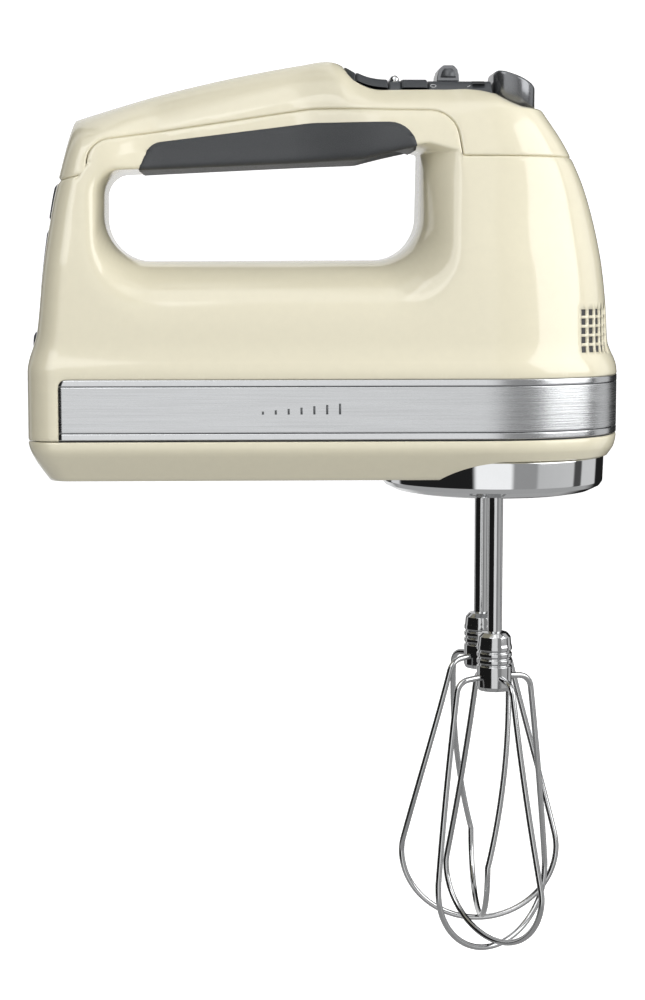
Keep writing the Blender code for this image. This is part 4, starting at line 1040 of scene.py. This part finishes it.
def build_beaters():
    """Each beater's stem, crimped ferrule and two crossing loops."""
    for side, hand in HANDS:
        centre = (BEATER_X, side * BEATER_Y, 0)
        body = f"{hand}_beater"
        # the rows beside each end keep the long wall's smooth shading straight
        profile = [(0, -90.0), (2.5, -90.0), (2.5, -89.9), (2.5, 19.1), (2.5, 19.2), (1.6, 20.0), (0, 20.0)]
        stem = lathe("stem", profile, centre, 48)
        link(f"{hand}_stem", stem, body, WIRE, (f"{hand}_beater_shaft",))
        grooves = []
        for z in (-84.6, -86.9, -89.2):
            grooves += [(6.0, z + 0.55), (5.55, z + 0.25), (5.55, z - 0.25), (6.0, z - 0.55)]
        profile = [(2.55, -77.8), (4.3, -78.2), (5.5, -79.6), (5.75, -82.2), (6.0, -83.0)] + grooves
        profile += [(6.0, -96.8), (5.5, -98.1), (4.2, -98.4), (0, -98.4)]
        ferrule = lathe("ferrule", soften(profile, 0.35, 3), centre, 64)
        link(f"{hand}_ferrule", ferrule, body, WIRE, (f"{hand}_beater_ferrule",))
        for label, shape in LOOPS[hand].items():
            wire = tube("wire", loop_places(centre, *shape), WIRE_RADIUS)
            link(f"{hand}_{label}_wire", wire, body, WIRE, (f"{hand}_{label}_loop",))


# finishes of the CAD nodes that stay as they are: the first row with a word in a node's name counts
NODE_FINISHES = ((MACHINED, ("screw", "spring")), (BRONZE, ("bearing", "bush", "brush_holder")),
                 (CARBON, ("brush",)), (COPPER, ("winding", "coil", "commutator")),
                 (IRON, ("stator", "armature_core")), (ALLOY, ("gear_frame", "gear_cover")),
                 (NYLON, ("worm_wheel",)), (BOARD, ("board",)), (MACHINED, ("shaft", "spindle", "yoke")))


def finish_inner_nodes():
    """Puts a finish on every CAD node by the words in its name."""
    for name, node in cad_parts.items():
        finish = next((look for look, words in NODE_FINISHES if any(word in name for word in words)), FITTING_AND_SHADE)
        node.data.materials.clear()
        node.data.materials.append(finish)


# ---- studio
def panel_light(name, place, target, size, power):
    """A soft rectangular lamp; places in millimetres, size in metres, power in watts."""
    data = bpy.data.lights.new(name, "AREA")
    data.shape = "RECTANGLE"
    data.size, data.size_y = size
    data.energy = power
    made = placed(name, data)
    made.location = Vector(place) * MM
    made.rotation_euler = (Vector(target) - Vector(place)).to_track_quat("-Z", "Y").to_euler()
    return made


def build_world():
    """A room of light and dark bars for the metals to mirror, plain grey well below the horizon."""
    world = bpy.data.worlds.new("studio")
    bpy.context.scene.world = world
    world.use_nodes = True
    tree = world.node_tree
    sky = tree.nodes["Background"]
    sky.inputs["Strength"].default_value = 0.8
    place = add(tree, "ShaderNodeTexCoord")
    turn_round = add(tree, "ShaderNodeTexGradient")
    turn_round.gradient_type = "RADIAL"
    shades = add(tree, "ShaderNodeValToRGB")
    height = add(tree, "ShaderNodeSeparateXYZ")
    below = add(tree, "ShaderNodeMapRange", From_Min=-0.52, From_Max=-0.36)
    shaded = add(tree, "ShaderNodeMixRGB", Color1=(0.5, 0.5, 0.5, 1))
    connect(tree, (place, "Generated", turn_round, "Vector"), (turn_round, "Fac", shades, "Fac"),
            (place, "Generated", height, "Vector"), (height, "Z", below, "Value"),
            (below, "Result", shaded, "Fac"), (shades, "Color", shaded, "Color2"),
            (shaded, "Color", sky, "Color"))
    stops = shades.color_ramp.elements
    while len(stops) > 1:
        stops.remove(stops[-1])
    for turn, bright in STUDIO_SHADES:
        stop = stops.new((turn + 90) / 360)
        stop.color = (bright, bright, bright, 1)
    stops.remove(stops[0])


def build_studio():
    """The lamps, a white floor and dome that only the camera sees, and the camera."""
    build_world()
    panel_light("key", (-250, -700, 700), (90, 0, 30), (0.5, 0.7), 2.35)
    panel_light("side", (650, -230, 240), (180, 0, 60), (0.5, 0.56), 2.2)
    panel_light("fill", (100, -300, 900), (90, 0, 30), (0.9, 0.5), 1.2)
    for name, place, power in (("low", (60, -620, -480), 0.9), ("back", (40, 850, 420), 2.4)):
        panel_light(name, place, (90, 0, 30), (0.6, 0.6), power).visible_glossy = False

    shape = bmesh.new()
    rows = []
    for y, z in ((-3000, FLOOR_Z), (900, FLOOR_Z), (1150, FLOOR_Z + 35), (1300, 0), (1350, 200),
                 (1350, 3000)):
        rows.append([(x, y, z) for x in np.linspace(-3000, 3000, 7)])
    grid(shape, rows)
    floor = placed("floor", mesh_from("floor", shape))
    floor.data.shade_smooth()
    white = surface("studio_floor", (0.93, 0.93, 0.93), 0.8, grain=20, tone=0.005, bump=0.002)
    glow = white.node_tree.nodes["Principled BSDF"]
    glow.inputs["Emission Color"].default_value = (1, 1, 1, 1)
    glow.inputs["Emission Strength"].default_value = 0.6
    profile = [(0, -4000), (3600, -4000), (4000, 0), (3600, 4000), (0, 4000)]
    dome = placed("dome", lathe("dome", profile, (0, 0, 0), 48))
    for thing in (floor, dome):
        thing.data.materials.append(white)
        thing.visible_glossy = False
        thing.visible_diffuse = False
        thing.visible_transmission = False
        thing.visible_shadow = False

    data = bpy.data.cameras.new("camera")
    data.sensor_fit = "VERTICAL"
    data.sensor_height = 36
    data.lens = CAMERA_LENS
    data.clip_start = 0.05
    camera = placed("camera", data)
    camera.location = Vector(CAMERA_PLACE) * MM
    camera.rotation_euler = (math.radians(90 - CAMERA_DOWN), 0, math.radians(CAMERA_TURN))
    bpy.context.scene.camera = camera
    bpy.context.scene.view_settings.view_transform = "Standard"


build_shells()
build_band()
build_vent_back()
build_rear()
build_controls()
build_collar()
build_beaters()
finish_inner_nodes()
build_studio()
